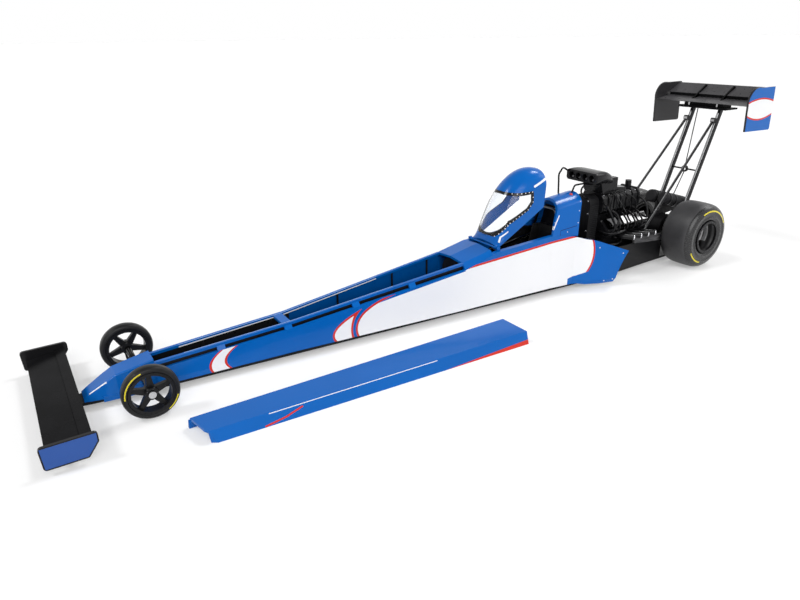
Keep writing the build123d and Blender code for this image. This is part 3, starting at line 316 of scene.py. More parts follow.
def side_bands(paint, base):
    """White field with red edges along the side, two swept bands ahead of it, and the blue flare."""
    x, y, z = paint.millimetres()
    rise = z - FIELD_LEVEL
    field_edge = rise.square() * -FIELD_BEND - rise.square().square() * FIELD_CURL + FIELD_X
    field_lean = rise * (2 * FIELD_BEND) + rise.square() * rise * (4 * FIELD_CURL)
    off_field = square_to(x - field_edge, field_lean)
    band_edge = bowed(z, BAND_LEVEL, BAND_BEND, BAND_X)
    off_band = square_to(x - band_edge, (z - BAND_LEVEL) * (-2 * BAND_BEND))
    top_ahead, top_behind = sloped(x, *TOP_AHEAD), sloped(x, *TOP_BEHIND)
    flare_edge, flare_low = bowed(z, *FLARE), sloped(x, *FLARE_LOW)
    patch_front, patch_back = bowed(z, *PATCH_FRONT), bowed(z, *PATCH_BACK)
    ahead = x > BANDS_FROM
    under_top = ((x > COWL_X) & (z < top_ahead)) | ((x < COWL_X) & (z < top_behind))
    above_flare = (x > FLARE_FRONT) | (z > flare_low)
    field = between(x, flare_edge, field_edge) & under_top & above_flare
    band = (off_field > BAND_FROM) & (x < band_edge) & ahead
    white = field | band | between(x, patch_back, patch_front)
    first = stroke(off_field - FIRST_LINE, LINE_HALF)
    second = stroke(off_field - SECOND_LINE, LINE_HALF) & (off_band < LINE_HALF)
    third = stroke(off_band, LINE_HALF) & (off_field > SECOND_LINE - LINE_HALF)
    swept = (first | second | third) & ahead
    patch_lines = stroke(x - patch_front, LINE_HALF) | stroke(x - patch_back, LINE_HALF)
    pin = between(x, flare_edge, COWL_X) & stroke(z - top_behind, PIN_HALF)
    flare_line = stroke(x - flare_edge, PIN_HALF) & (z > flare_low)
    red = swept | patch_lines | pin | flare_line
    outer = outward(paint, y)
    painted = paint.mix(white & outer, base, WHITE)
    painted = paint.mix(red & outer, painted, RED)
    cockpit = inward(paint, y) & (x < COCKPIT_TO)
    return paint.mix(cockpit, painted, BLACK)


LENS_HIGH, LENS_LOW = (-33.0, -0.012, 96.0), (-33.0, 0.016, 84.4)
LENS_LINE_HALF = 0.45


def end_plate_bands(paint, base):
    """Rear wing end plate: white lens between two red arcs outside; inside, black lightened as painted sheen.
    """
    x, y, z = paint.millimetres()
    high, low = bowed(x, *LENS_HIGH), bowed(x, *LENS_LOW)
    red = stroke(z - high, LENS_LINE_HALF) | stroke(z - low, LENS_LINE_HALF)
    painted = paint.mix(red, paint.mix(between(z, low, high), base, WHITE), RED)
    return paint.mix(outward(paint, y), PLATE_BLACK, painted)


FRONT_PLATE = ((39.4, 11.0), (21.2, 11.4), (21.2, 7.6), (25.0, 2.4), (38.8, 2.1), (39.4, 11.0)), 0.5


def front_plate_bands(paint, base):
    """Front wing end plate: its own duller blue outside with a black edge, black inside."""
    x, y, z = paint.millimetres()
    edge = near_run(x - WHEELBASE, z, *FRONT_PLATE)
    blue = paint.drift(30.0, PLATE_BLUE_DEEP, PLATE_BLUE)
    return paint.mix(outward(paint, y), BLACK, paint.mix(edge, blue, BLACK))


NOSE_EDGE = (0.0, -0.129, 5.98)  # place ahead of the front axle, slope and half width
NOSE_LINE, NOSE_LINE_HALF, NOSE_LINE_LOW = (12.6, 19.2), 0.17, 5.0


def nose_bands(paint, base):
    """Nose: a white line along each upper edge towards the tip."""
    x, y, z = paint.millimetres()
    ahead = x - WHEELBASE
    line = stroke(y.size() - sloped(ahead, *NOSE_EDGE), NOSE_LINE_HALF)
    return paint.mix(line & between(ahead, *NOSE_LINE) & (z > NOSE_LINE_LOW), base, WHITE)


RAIL_MID_X, RAIL_MID_Y, RAIL_MID_Z = 252.8, 5.8, 17.3
RAIL_SPREAD_BACK, RAIL_SPREAD_FRONT = 0.0507, 0.0203
RAIL_RISE_BACK, RAIL_RISE_FRONT = 0.1205, 0.0659
RAIL_LINE_X, RAIL_LINE_IN, RAIL_LINE_HALF = (203.0, 300.0), 0.5, 0.15
RAIL_LIP = 0.75


def rail_bands(paint, base):
    """Upper rail: a pale line along the inner edge of its top, and a white inner face below the lip."""
    x, y, z = paint.millimetres()
    behind = (-x + RAIL_MID_X).at_least(0.0)
    before = (x - RAIL_MID_X).at_least(0.0)
    inner = behind * RAIL_SPREAD_BACK - before * RAIL_SPREAD_FRONT + (RAIL_MID_Y - RAIL_LINE_IN)
    low = behind * RAIL_RISE_BACK - before * RAIL_RISE_FRONT + (RAIL_MID_Z - RAIL_LIP)
    run = between(x, *RAIL_LINE_X)
    line = stroke(y.size() - inner, RAIL_LINE_HALF) & (paint.facing()[2] > 0.5) & run
    face = inward(paint, y) & (z < low) & run
    return paint.mix(face, paint.mix(line, base, RAIL_LINE), WHITE)


SHROUD_LINE = ((99.6, 42.0), (105.4, 35.9)), 0.3  # points and half width
SHROUD_SEAM = ((88.0, 35.2), (100.4, 34.6), (101.6, 32.0)), 0.16
SHROUD_SIDE = 5.0


def shroud_bands(paint, base):
    """Shroud: a white line behind its front edge, and the seam along its foot."""
    x, y, z = paint.millimetres()
    line = near_run(x, z, *SHROUD_LINE) & (y.size() > SHROUD_SIDE)
    seam = near_run(x, z, *SHROUD_SEAM)
    return paint.mix(seam, paint.mix(line, base, WHITE), SEAM)


def canopy_shut(paint):
    """Side view place on the canopy as if it were shut, with y between."""
    x, y, z = paint.millimetres()
    reach, height = x - HINGE_X, z - HINGE_Z
    shut_x = reach * math.cos(CANOPY_OPEN) - height * math.sin(CANOPY_OPEN)
    shut_z = reach * math.sin(CANOPY_OPEN) + height * math.cos(CANOPY_OPEN)
    return shut_x + HINGE_X, y, shut_z + HINGE_Z


GLASS = (
    (139.4, 36.2), (130.0, 39.1), (117.4, 38.8), (113.2, 40.5),
    (111.4, 44.9), (119.3, 48.3), (123.2, 50.6), (125.0, 56.0),
)
BORDER, GLASS_BORDER, BORDER_THIN = 0.9, 0.6, 0.6
FLASH = ((108.6, 46.9), (100.4, 46.1)), 0.55
HOOK = ((135.6, 39.2), (139.4, 36.8), (140.5, 34.4)), 0.32


def window_border(paint, x, y, z, width):
    """1 on the outer black border round the window, thin at its front corner."""
    inside = inward(paint, y) | (paint.facing()[2] < -0.3)
    border = near_run(x, z, GLASS[1:], width) | near_run(x, z, GLASS[:2], width * BORDER_THIN)
    return border & (inside < 0.5)


def canopy_bands(paint, base):
    """Canopy: black border round the window, a white flash on each shoulder and a hook below the window."""
    x, y, z = canopy_shut(paint)
    border = window_border(paint, x, y, z, BORDER)
    flash = near_run(x, z, *FLASH)
    open_x, _, open_z = paint.millimetres()
    hook = near_run(open_x, open_z, *HOOK)
    marks = (flash | hook) & outward(paint, y)
    return paint.mix(border, paint.mix(marks, base, WHITE), BLACK)


PANEL_NEAR = 46.0
PANEL_RED, PANEL_CREASE = (205.0, -0.045, 0.0), (309.0, -0.008, 4.1)
PANEL_ARC = ((285.0, 0.4), (277.0, 1.5), (270.0, 3.4)), 0.32
PANEL_LINE_X, PANEL_LINE_HALF = (208.0, 283.0), 0.14


def panel_bands(paint, base):
    """Loose panel: red stripe along the near lower edge, red arc ahead of it, white line under the top."""
    x, y, z = paint.millimetres()
    near = y > PANEL_NEAR
    red = (z < sloped(x, *PANEL_RED)) | near_run(x, z, *PANEL_ARC)
    line = between(x, *PANEL_LINE_X) & stroke(z - sloped(x, *PANEL_CREASE), PANEL_LINE_HALF)
    return paint.mix(red & near, paint.mix(line & near, base, WHITE), RED)


def plain(paint, base):
    return base


def gloss_paint(name, colour_of):
    """Glossy coated paint. colour_of draws the bands of colour over the base."""
    paint = Paint(name)
    paint.colour(colour_of(paint, paint.drift(30.0, BLUE_DEEP, BLUE)))
    paint.bump(paint.noise(600.0, 1.0), 0.00002, 0.08)
    rough = paint.ramp(paint.noise(300.0), 0.2, 0.27)
    return paint.done(rough, coat_weight=0.12, coat_roughness=0.03, specular=0.15)


# Other finishes

def even(name, grain, dark, light, rough, fine=None, bump=None, where=None, other=None, **settings):
    """Finish whose colour and roughness drift. Outside the mask that where draws, it has the other colour.

    grain holds the arguments of a noise. Where fine or the bump's scale is None, that noise serves there too.
    """
    paint = Paint(name)
    broad = paint.noise(*grain)
    colour = paint.mix(paint.ramp(broad), dark, light)
    paint.colour(paint.mix(where(paint), other, colour) if where else colour)
    if bump:
        scale, depth, strength = bump
        paint.bump(paint.noise(scale, 2.0) if scale else broad, depth, strength)
    return paint.done(paint.ramp(paint.noise(fine) if fine else broad, *rough), **settings)


DISH_FACE = (REAR_TRACK + REAR_TYRE_W) / 2
DISH_LIGHT, DISH_GREY, DISH_BOTTOM = 5.9, 6.6, 8.0  # depths in a rear wheel's dish: its painted light starts bright, turns grey, then covers the bottom
# below this height a rear wheel's dish keeps its black, with no painted light
DISH_LOW = REAR_TYRE_R - 5.0
# lower edge of the painted reflection along the rear skirt's top: place, slope and height
SKIRT_REFLECTION_EDGE = (13.0, 0.1, 14.9)
# ahead of the second number the valve covers carry painted shade, dark metal under the hoses
LINER_BLUE_TO, COVER_SHADE_FROM = 250.0, 50.6
AHEAD = 0.66  # least forward normal of the painted highlight on struts and tubes


def barrel_metal():
    """Inside of a rear wheel's dish: black towards the lip and in its lower part; deeper in its upper part,
    painted light, bright and then grey towards the bottom.
    """
    paint = Paint("barrel_metal")
    _, y, z = paint.millimetres()
    depth = -y.size() + DISH_FACE
    grain = paint.ramp(paint.noise(900.0))
    grey = paint.mix(grain, (0.3, 0.3, 0.305), (0.6, 0.6, 0.61))
    light = paint.mix(depth > DISH_GREY, (0.9, 0.9, 0.9), grey)
    deep = (depth > DISH_LIGHT) & (z > DISH_LOW)
    paint.colour(paint.mix(deep, (0.012, 0.012, 0.013), light))
    return paint.done(paint.ramp(grain, 0.3, 0.45))


def cast_black(name, dished):
    """Cast wheel: fine grain and a soft sheen; where it has a dish, painted light, a light grey, on the upper
    part of its bottom.
    """
    paint = Paint(name)
    grain = paint.noise(1600.0)
    shade = paint.ramp(grain)
    colour = paint.mix(shade, (0.007, 0.007, 0.008), (0.014, 0.014, 0.015))
    if dished:
        _, y, z = paint.millimetres()
        grey = paint.mix(shade, (0.4, 0.4, 0.405), (0.7, 0.7, 0.71))
        bottom = outward(paint, y) & (-y.size() + DISH_FACE > DISH_BOTTOM) & (z > DISH_LOW)
        colour = paint.mix(bottom, colour, grey)
    paint.colour(colour)
    paint.bump(grain, 0.00003, 0.25)
    return paint.done(paint.ramp(grain, 0.26, 0.4), specular=0.16)


def skirt_black():
    """Rear skirt: black below, with streaked grey along its top, a painted reflection of the light on its top
    face.
    """
    paint = Paint("skirt_black")
    x, _, z = paint.millimetres()
    streak = paint.ramp(paint.noise(260.0, 3.0, 0.6, (1.0, 1.0, 9.0)))
    grey = paint.mix(streak, (0.035, 0.035, 0.037), (0.13, 0.13, 0.135))
    # grey above the edge: painted reflection on the skirt's top face
    paint.colour(paint.mix(z > sloped(x, *SKIRT_REFLECTION_EDGE), BLACK, grey))
    return paint.done(paint.ramp(streak, 0.28, 0.42), specular=0.15)


def liner_blue(paint):
    """1 on faces of the inner walls that look to the middle, but not far ahead."""
    x, y, _ = paint.millimetres()
    return inward(paint, y) & (x < LINER_BLUE_TO)


def axle_pins(paint):
    """1 on the pin heads of the front axle."""
    return paint.millimetres()[1].size() > FRONT_TRACK / 2


def cover_back(paint):
    """1 on the valve covers behind their fronts, which are painted dark as the shade under the hoses."""
    return paint.millimetres()[0] < COVER_SHADE_FROM


def black_chrome():
    """Struts and tubes: polished black metal, with a painted highlight, a lighter metal colour, on the faces
    that look ahead.
    """
    paint = Paint("black_chrome")
    shade = paint.ramp(paint.noise(200.0))
    black = paint.mix(shade, (0.014, 0.014, 0.015), (0.022, 0.022, 0.023))
    # painted highlight: the lighter metal colour on faces that look ahead
    bright = paint.mix(shade, (0.3, 0.3, 0.305), (0.42, 0.42, 0.425))
    paint.colour(paint.mix(paint.facing()[0] > AHEAD, black, bright))
    return paint.done(paint.ramp(paint.noise(700.0), 0.1, 0.15), metallic=1.0)


FRONT_ARC, FRONT_MARKS = (9.26, 9.72), ((0.8, 0.6, 0.8), (-0.8, -0.6, 0.94))
REAR_ARC, REAR_MARKS = (15.1, 15.9), ((-0.34, 0.94, 0.7), (0.6, -0.8, 0.92))
TREAD_FROM = REAR_TYRE_R - 0.8
TREAD_LINES = 9.0


def rubber():
    """Front tyre with a yellow arc on two parts of its wall."""
    paint = Paint("rubber")
    x, y, z = paint.millimetres()
    grain = paint.noise(1800.0, 4.0, 0.6)
    black = paint.drift(90.0, BLACK, (0.015, 0.015, 0.016))
    yellow = arc_mark(x - WHEELBASE, z - FRONT_TYRE_R, *FRONT_ARC, FRONT_MARKS) & (y.size() > FRONT_TRACK / 2)
    paint.colour(paint.mix(yellow, black, YELLOW))
    paint.bump(grain, 0.00004, 0.25)
    return paint.done(paint.ramp(grain, 0.32, 0.46), specular=0.2)


def slick_rubber():
    """Tread with fine lines round it, greyer than the wall, which has a yellow arc on two parts."""
    paint = Paint("slick_rubber")
    x, y, z = paint.millimetres()
    height = z - REAR_TYRE_R
    on_tread = (x.square() + height.square()).power(0.5) > TREAD_FROM
    wave = (y * TREAD_LINES).math("SINE")
    cloud = paint.ramp(paint.noise(120.0, 4.0))
    wall = paint.mix(cloud, (0.012, 0.012, 0.013), (0.02, 0.02, 0.021))
    tread = paint.mix(cloud, (0.03, 0.03, 0.032), (0.046, 0.045, 0.048))
    yellow = arc_mark(x, height, *REAR_ARC, REAR_MARKS) & (y.size() > REAR_TRACK / 2)
    paint.colour(paint.mix(yellow, paint.mix(on_tread, wall, tread), YELLOW))
    paint.bump(wave * on_tread, 0.00003, 0.5)
    return paint.done(paint.ramp(paint.noise(1500.0), 0.24, 0.3) + on_tread * 0.18, specular=0.45)


def clear_glass():
    """Clear windshield with the black border of the window."""
    paint = Paint("clear_glass")
    x, y, z = canopy_shut(paint)
    border = window_border(paint, x, y, z, GLASS_BORDER)
    paint.colour(paint.mix(border, (0.95, 0.97, 1.0), BLACK))
    clear = -border + 1.0
    paint.tree.links.new(clear.socket, paint.shader.inputs["Transmission Weight"])
    return paint.done(paint.ramp(paint.noise(60.0), 0.0, 0.03), ior=1.35)


BANDS = {
    "side": side_bands, "body": plain, "nose": nose_bands, "rail": rail_bands, "shroud": shroud_bands,
    "canopy": canopy_bands, "panel": panel_bands, "rear_plate": end_plate_bands,
    "front_plate": front_plate_bands,
}
M = {
    **{name: gloss_paint(f"blue_{name}", bands) for name, bands in BANDS.items()},
    "gloss": even(
        "black_gloss", (120.0,), (0.005, 0.005, 0.006), (0.01, 0.01, 0.011), (0.16, 0.26), 500.0,
        (900.0, 0.00002, 0.15), specular=0.16,
    ),
    "satin": even(
        "black_satin", (160.0,), (0.006, 0.006, 0.007), (0.013, 0.013, 0.014), (0.34, 0.5), 500.0,
        (2200.0, 0.00003, 0.3), specular=0.1,
    ),
    "wing": even(
        "wing_black", (100.0,), (0.004, 0.004, 0.0045), BLACK, (0.24, 0.27), 400.0, specular=0.03,
    ),
    # rear wing: its black lightened to dark grey as painted sheen
    "rear_wing": even(
        "rear_wing_black", (100.0,), (0.042, 0.041, 0.043), (0.06, 0.058, 0.062), (0.26, 0.34), 400.0,
        specular=0.2,
    ),
    "cloth": even(
        "cloth_dark", (2600.0, 1.0), (0.007, 0.007, 0.008), (0.018, 0.018, 0.02), (0.5, 0.7), None,
        (None, 0.00005, 0.6), specular=0.2,
    ),
    "bright": even(
        "bright_metal", (400.0, 2.0, 0.5, (1.0, 12.0, 12.0)), (0.5, 0.5, 0.52), (0.66, 0.66, 0.68),
        (0.14, 0.28), metallic=1.0,
    ),
    "grey": even(
        "grey_metal", (300.0,), (0.16, 0.16, 0.17), (0.3, 0.3, 0.31), (0.22, 0.36), 800.0, metallic=1.0,
    ),
    "chrome": even(
        "dark_chrome", (260.0,), (0.05, 0.05, 0.053), (0.11, 0.11, 0.115), (0.08, 0.16), 800.0, metallic=1.0,
    ),
    "axle": even(
        "axle_metal", (300.0,), (0.4, 0.4, 0.41), (0.55, 0.55, 0.56), (0.2, 0.3), 800.0,
        where=axle_pins, other=(0.012, 0.012, 0.013), metallic=1.0,
    ),
    # valve covers: chrome, with their fronts painted dark metal as shade under the hoses
    "cover": even(
        "cover_chrome", (200.0,), (0.34, 0.34, 0.345), (0.42, 0.42, 0.425), (0.04, 0.1), 700.0,
        where=cover_back, other=(0.03, 0.03, 0.031), metallic=1.0,
    ),
    "liner": even(
        "liner", (60.0,), (0.0, 0.07, 0.28), (0.0, 0.078, 0.31), (0.26, 0.36), 300.0,
        where=liner_blue, other=BLACK, specular=0.15,
    ),
    "rivet": even("rivet_white", (400.0,), (0.72, 0.72, 0.74), (0.85, 0.85, 0.87), (0.2, 0.35), 900.0),
    "red": even("red_cap", (500.0,), (0.55, 0.03, 0.02), (0.7, 0.05, 0.03), (0.2, 0.3), 900.0),
    "wheel": cast_black("wheel_black", False),
    "dish": cast_black("dish_black", True),
    "barrel": barrel_metal(),
    "skirt": skirt_black(),
    "tube": black_chrome(),
    "rubber": rubber(),
    "slick": slick_rubber(),
    "glass": clear_glass(),
}


def pair(name):
    """The left and the right node of a pair."""
    return f"{name}_left", f"{name}_right"


FINISH = {  # material, then the nodes that take it
    "side": pair("side_panel"),
    "body": ("rail_cross", "cowl", "canopy_hinge"),
    "rail": pair("upper_rail"),
    "shroud": ("shroud",),
    "nose": ("nose",),
    "canopy": ("canopy_shell",),
    "panel": ("body_panel",),
    "rear_plate": pair("rear_end_plate"),
    "front_plate": pair("front_end_plate"),
    "gloss": ("front_pylons", "supercharger", "injector_hat", "fuel_lines", "engine_block", *pair("header")),
    "tube": ("wing_ribs", *pair("strut"), *pair("frame_tube"), *pair("stay")),
    "wing": ("front_wing", "front_flap", "wing_mount"),
    "rear_wing": ("rear_wing", "rear_flap"),
    "wheel": pair("front_wheel"),
    "dish": pair("rear_wheel"),
    "satin": ("belly_pan", "firewall", "seat", "belt_drive", "rear_housing"),
    "skirt": pair("rear_skirt"),
    "cloth": ("strut_brace",),
    "bright": ("rear_axle",),
    "grey": ("steering",),
    "axle": ("front_axle",),
    "chrome": ("roll_cage",),
    "cover": pair("valve_cover"),
    "rubber": pair("front_tyre"),
    "slick": pair("rear_tyre"),
    "glass": ("windshield",),
}


def finish_nodes():
    """Gives each solid its finish."""
    for finish, names in FINISH.items():
        for name in names:
            solid = nodes[name]
            if not solid.material_slots:
                solid.data.materials.append(None)
            for place in solid.material_slots:
                place.link = "OBJECT"
                place.material = M[finish]


# Mesh helpers: a shape is a list of points in millimetres and a list of faces

def add_mesh(name, shape, material, body="chassis", smooth=True):
    """A new mesh piece that rides on a body."""
    points, faces = shape
    mesh = bpy.data.meshes.new(name)
    mesh.from_pydata([Vector(point) * MM for point in points], [], faces)
    mesh.validate()
    piece = add_object(name, mesh)
    piece.data.materials.append(M[material])
    work = bmesh.new()
    work.from_mesh(mesh)
    bmesh.ops.recalc_face_normals(work, faces=work.faces)
    work.to_mesh(mesh)
    work.free()
    for face in mesh.polygons:
        face.use_smooth = smooth
    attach(piece, body)
    return piece


def ring_faces(turns, count):
    """Faces between the turns of a closed profile of some points."""
    faces = []
    for turn in range(turns):
        here, there = turn * count, (turn + 1) % turns * count
        for k in range(count):
            j = (k + 1) % count
            faces.append((here + k, here + j, there + j, there + k))
    return faces


def on_wheel(centre, side, out, radius, share):
    """A place on a wheel: out from its middle, at a radius and a share of a turn."""
    cx, cy, cz = centre
    angle = 2 * math.pi * share
    return cx + radius * math.cos(angle), cy + side * out, cz + radius * math.sin(angle)


def lathe(centre, side, profile, turns):
    """Shape of a closed profile of (out, radius) turned about a wheel's axle."""
    shares = [turn / turns for turn in range(turns)]
    points = [on_wheel(centre, side, out, radius, share) for share in shares for out, radius in profile]
    return points, ring_faces(turns, len(profile))


def spokes(axis, count):
    """Unit vectors round an axis."""
    across = axis.orthogonal().normalized()
    over = axis.cross(across)
    angles = [2 * math.pi * k / count for k in range(count)]
    return [across * math.cos(angle) + over * math.sin(angle) for angle in angles]


def turned(centre, axis, profile, turns=28):
    """Shape of a closed profile of (out, radius) turned about an axis."""
    axis = Vector(axis).normalized()
    points = []
    for spoke in spokes(axis, turns):
        points.extend(Vector(centre) + axis * out + spoke * radius for out, radius in profile)
    return points, ring_faces(turns, len(profile))


def slab(outline, way):
    """Shape of a plate: an outline of points, thickened by a vector."""
    way = Vector(way)
    count = len(outline)
    points = [Vector(p) for p in outline] + [Vector(p) + way for p in outline]
    faces = [tuple(range(count)), tuple(reversed(range(count, 2 * count)))]
    faces.extend((k, (k + 1) % count, (k + 1) % count + count, k + count) for k in range(count))
    return points, faces


def bar(side_view, half):
    """Shape of a side view outline of (x, z), as wide each way from the middle."""
    return slab([(rear(x), -half, up(z)) for x, z in side_view], (0, 2 * half, 0))


def wires(name, routes, radius, material):
    """One piece of smooth round lines along routes of points in millimetres."""
    curve = bpy.data.curves.new(name, "CURVE")
    curve.dimensions = "3D"
    curve.bevel_depth = radius * MM
    curve.bevel_resolution = 2
    curve.resolution_u = 5
    curve.use_fill_caps = True
    for route in routes:
        spline = curve.splines.new("NURBS")
        spline.points.add(len(route) - 1)
        for point, place in zip(spline.points, route):
            point.co = (*(Vector(place) * MM), 1)
        spline.order_u = min(3, len(route))
        spline.use_endpoint_u = True
    source = bpy.data.objects.new(f"{name}_route", curve)
    mesh = bpy.data.meshes.new_from_object(source)
    bpy.data.objects.remove(source)
    points = [vertex.co / MM for vertex in mesh.vertices]
    faces = [tuple(face.vertices) for face in mesh.polygons]
    bpy.data.meshes.remove(mesh)
    add_mesh(name, (points, faces), material)


DOME_RINGS = ((1.0, -0.15), (1.0, 0.3), (0.8, 0.75), (0.42, 1.0))  # shares of radius and height


def dome(place, normal, radius, height, sides=10):
    """Shape of a low domed head on a surface."""
    normal = Vector(normal).normalized()
    place = Vector(place)
    around = spokes(normal, sides)
    points, faces = [], []
    for wide, tall in DOME_RINGS:
        points.extend(place + spoke * radius * wide + normal * height * tall for spoke in around)
    last = len(DOME_RINGS) - 1
    for ring in range(last):
        a, b = ring * sides, (ring + 1) * sides
        for k in range(sides):
            j = (k + 1) % sides
            faces.append((a + k, a + j, b + j, b + k))
    faces.append(tuple(range(last * sides, (last + 1) * sides)))
    faces.append(tuple(reversed(range(sides))))
    return points, faces


def joined(parts):
    """Several shapes as one."""
    points, faces = [], []
    for some_points, some_faces in parts:
        start = len(points)
        points.extend(some_points)
        faces.extend(tuple(k + start for k in face) for face in some_faces)
    return points, faces


def surface(name, starts, way):
    """The places and normals, in millimetres, where straight lines first meet a solid."""
    spots = []
    for start in starts:
        hit, place, normal, _ = nodes[name].ray_cast(Vector(start) * MM, Vector(way).normalized())
        if hit:
            spots.append((place / MM, normal))
    return spots


def heads(name, spots, radius, height, material, body="chassis"):
    """One piece of many domed heads at (place, normal) spots."""
    parts = [dome(place, normal, radius, height) for place, normal in spots]
    add_mesh(name, joined(parts), material, body)


# Tyres, wheel fasteners and the bands in the rear wheels' dishes

REAR_WALL = (  # out from the middle, radius
    (9.1, 9.72), (9.7, 10.3), (9.95, 11.2), (9.98, 11.5), (10.08, 11.55), (10.08, 11.85), (10.0, 11.9),
    (10.12, 13.2), (10.1, 14.6), (10.14, 14.65), (10.12, 14.95), (10.04, 15.0), (9.9, 15.9), (9.5, 16.9),
    (8.85, 17.75), (8.0, 18.4), (6.9, 18.85), (5.6, 19.1), (3.0, 19.24),
)
FRONT_WALL = (
    (2.0, 8.52), (2.32, 8.75), (2.38, 9.0), (2.34, 9.05), (2.38, 9.3), (2.3, 9.7), (2.02, 10.15),
    (1.5, 10.45), (0.8, 10.58),
)
REAR_TURNS, FRONT_TURNS, BARREL_TURNS = 128, 112, 64
SUNK = 0.05  # how far a head's foot stands below its face
LUG_DEPTH = 9.0
BARREL_R, BARREL_T, BARREL_FROM, BARREL_TO = 8.86, 0.14, -8.4, -1.25


def rear_wheel(side):
    return rear(0), side * REAR_TRACK / 2, up(REAR_TYRE_R)


def front_wheel(side):
    return rear(WHEELBASE), side * FRONT_TRACK / 2, up(FRONT_TYRE_R)


def tyre(name, node, centre, side, wall, crown, material, body, turns):
    """A tyre turned from its wall profile, in place of its solid."""
    profile = [*wall, (0.0, crown), *[(-out, radius) for out, radius in reversed(wall)]]
    piece = add_mesh(name, lathe(centre, side, profile, turns), material, body)
    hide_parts(node)


def make_tyres():
    for hand, side in SIDES:
        tyre(
            f"slick_{hand}", f"rear_tyre_{hand}", rear_wheel(side), side,
            REAR_WALL, REAR_TYRE_R, "slick", "rear_axle_body", REAR_TURNS,
        )
        tyre(
            f"thin_tyre_{hand}", f"front_tyre_{hand}", front_wheel(side), side,
            FRONT_WALL, FRONT_TYRE_R, "rubber", f"front_wheel_{hand}_body", FRONT_TURNS,
        )


def ring_spots(centre, side, out, radius, count, phase=0.0):
    """Spots round a wheel face."""
    shares = [(k + phase) / count for k in range(count)]
    return [(on_wheel(centre, side, out, radius, share), (0, side, 0)) for share in shares]


def make_wheel_fasteners():
    for hand, side in SIDES:
        lip = ring_spots(rear_wheel(side), side, REAR_TYRE_W / 2 - SUNK, 8.95, 24)
        heads(f"lip_bolts_{hand}", lip, 0.36, 0.22, "chrome", "rear_axle_body")
        lugs = ring_spots(rear_wheel(side), side, REAR_TYRE_W / 2 - LUG_DEPTH - SUNK, 4.1, 5, 0.25)
        heads(f"lug_nuts_{hand}", lugs, 0.55, 0.8, "bright", "rear_axle_body")
        hub = ring_spots(front_wheel(side), side, FRONT_TYRE_W / 2 - SUNK, 1.9, 5, 0.5)
        heads(f"hub_bolts_{hand}", hub, 0.26, 0.2, "chrome", f"front_wheel_{hand}_body")


def make_barrels():
    """Band inside the dish of each rear wheel, which carries the dish's painted light."""
    inner = BARREL_R - BARREL_T
    profile = ((BARREL_FROM, BARREL_R), (BARREL_TO, BARREL_R), (BARREL_TO, inner), (BARREL_FROM, inner))
    for hand, side in SIDES:
        ring = turned((rear(0), side * DISH_FACE, up(REAR_TYRE_R)), (0, side, 0), profile, BARREL_TURNS)
        add_mesh(f"barrel_{hand}", ring, "barrel", "rear_axle_body")


# Canopy rivets

RIVET_PITCH, RIVET_OUT = 2.1, 0.45
RIVET_RUN = (
    (139.2, 36.25), (130.0, 39.1), (117.4, 38.8), (113.2, 40.5), (111.4, 44.9), (119.3, 48.3), (122.9, 50.4),
)
RAY_FROM = 20.0
SIDE_LEAST = 0.2  # a rivet nearer to the middle than this is left out


def opened(x, z):
    """A side view place on the shut canopy, turned up to the open pose, in the model's frame."""
    reach, height = x - HINGE_X, z - HINGE_Z
    turn_x = reach * math.cos(CANOPY_OPEN) + height * math.sin(CANOPY_OPEN)
    turn_z = -reach * math.sin(CANOPY_OPEN) + height * math.cos(CANOPY_OPEN)
    return rear(turn_x + HINGE_X), up(turn_z + HINGE_Z)


def rivet_places():
    """Side view places round the window, a little outside its edge."""
    places = []
    for (ax, az), (bx, bz) in zip(RIVET_RUN, RIVET_RUN[1:]):
        length = math.hypot(bx - ax, bz - az)
        out_x, out_z = (bz - az) / length * RIVET_OUT, -(bx - ax) / length * RIVET_OUT
        count = max(1, round(length / RIVET_PITCH))
        for k in range(count):
            share = k / count
            places.append(opened(ax + (bx - ax) * share - out_x, az + (bz - az) * share - out_z))
    return places


def make_canopy_rivets():
    for hand, side in SIDES:
        starts = [(x, side * RAY_FROM, z) for x, z in rivet_places()]
        spots = surface("canopy_shell", starts, (0, -side, 0))
        spots = [(place, normal) for place, normal in spots if place.y * side > SIDE_LEAST]
        heads(f"canopy_rivets_{hand}", spots, 0.3, 0.16, "rivet", "canopy")


# Inside of the long body: walls, posts, tubes and the bulkhead under the cowl

RAIL_TOP = ((312.0, 13.4), (252.8, 17.3), (164.0, 28.0))
RAIL_H = 1.2
PAN_TOP = 3.6
WALL_X = (312.0, 252.8, 164.4)
WALL_T = 0.5
POST_X = (290.0, 257.0, 224.8, 193.6, 172.0)
POST_R, POST_IN = 0.5, 0.45
TUBE_X = (309.0, 280.0, 252.8, 220.0, 190.0, 165.0)
TUBE_R, TUBE_IN, TUBE_Z, TUBE_RISE = 0.7, 2.0, 5.2, 0.03
BULKHEAD_X, BULKHEAD_T, ARCH_R, ARCH_Z, ARCH_STEPS = 163.0, 0.8, 8.0, 20.0, 24


def rail_foot(x):
    """Height of the upper rail's underside at x."""
    for (ahead, high), (behind, low) in zip(RAIL_TOP, RAIL_TOP[1:]):
        if behind <= x <= ahead:
            return low + (high - low) * (x - behind) / (ahead - behind) - RAIL_H
    raise ValueError("x lies off the rail")


def rail_middle(x):
    """Half width between the upper rails' middles at x."""
    spread = RAIL_SPREAD_BACK if x < RAIL_MID_X else RAIL_SPREAD_FRONT
    return RAIL_MID_Y + (RAIL_MID_X - x) * spread


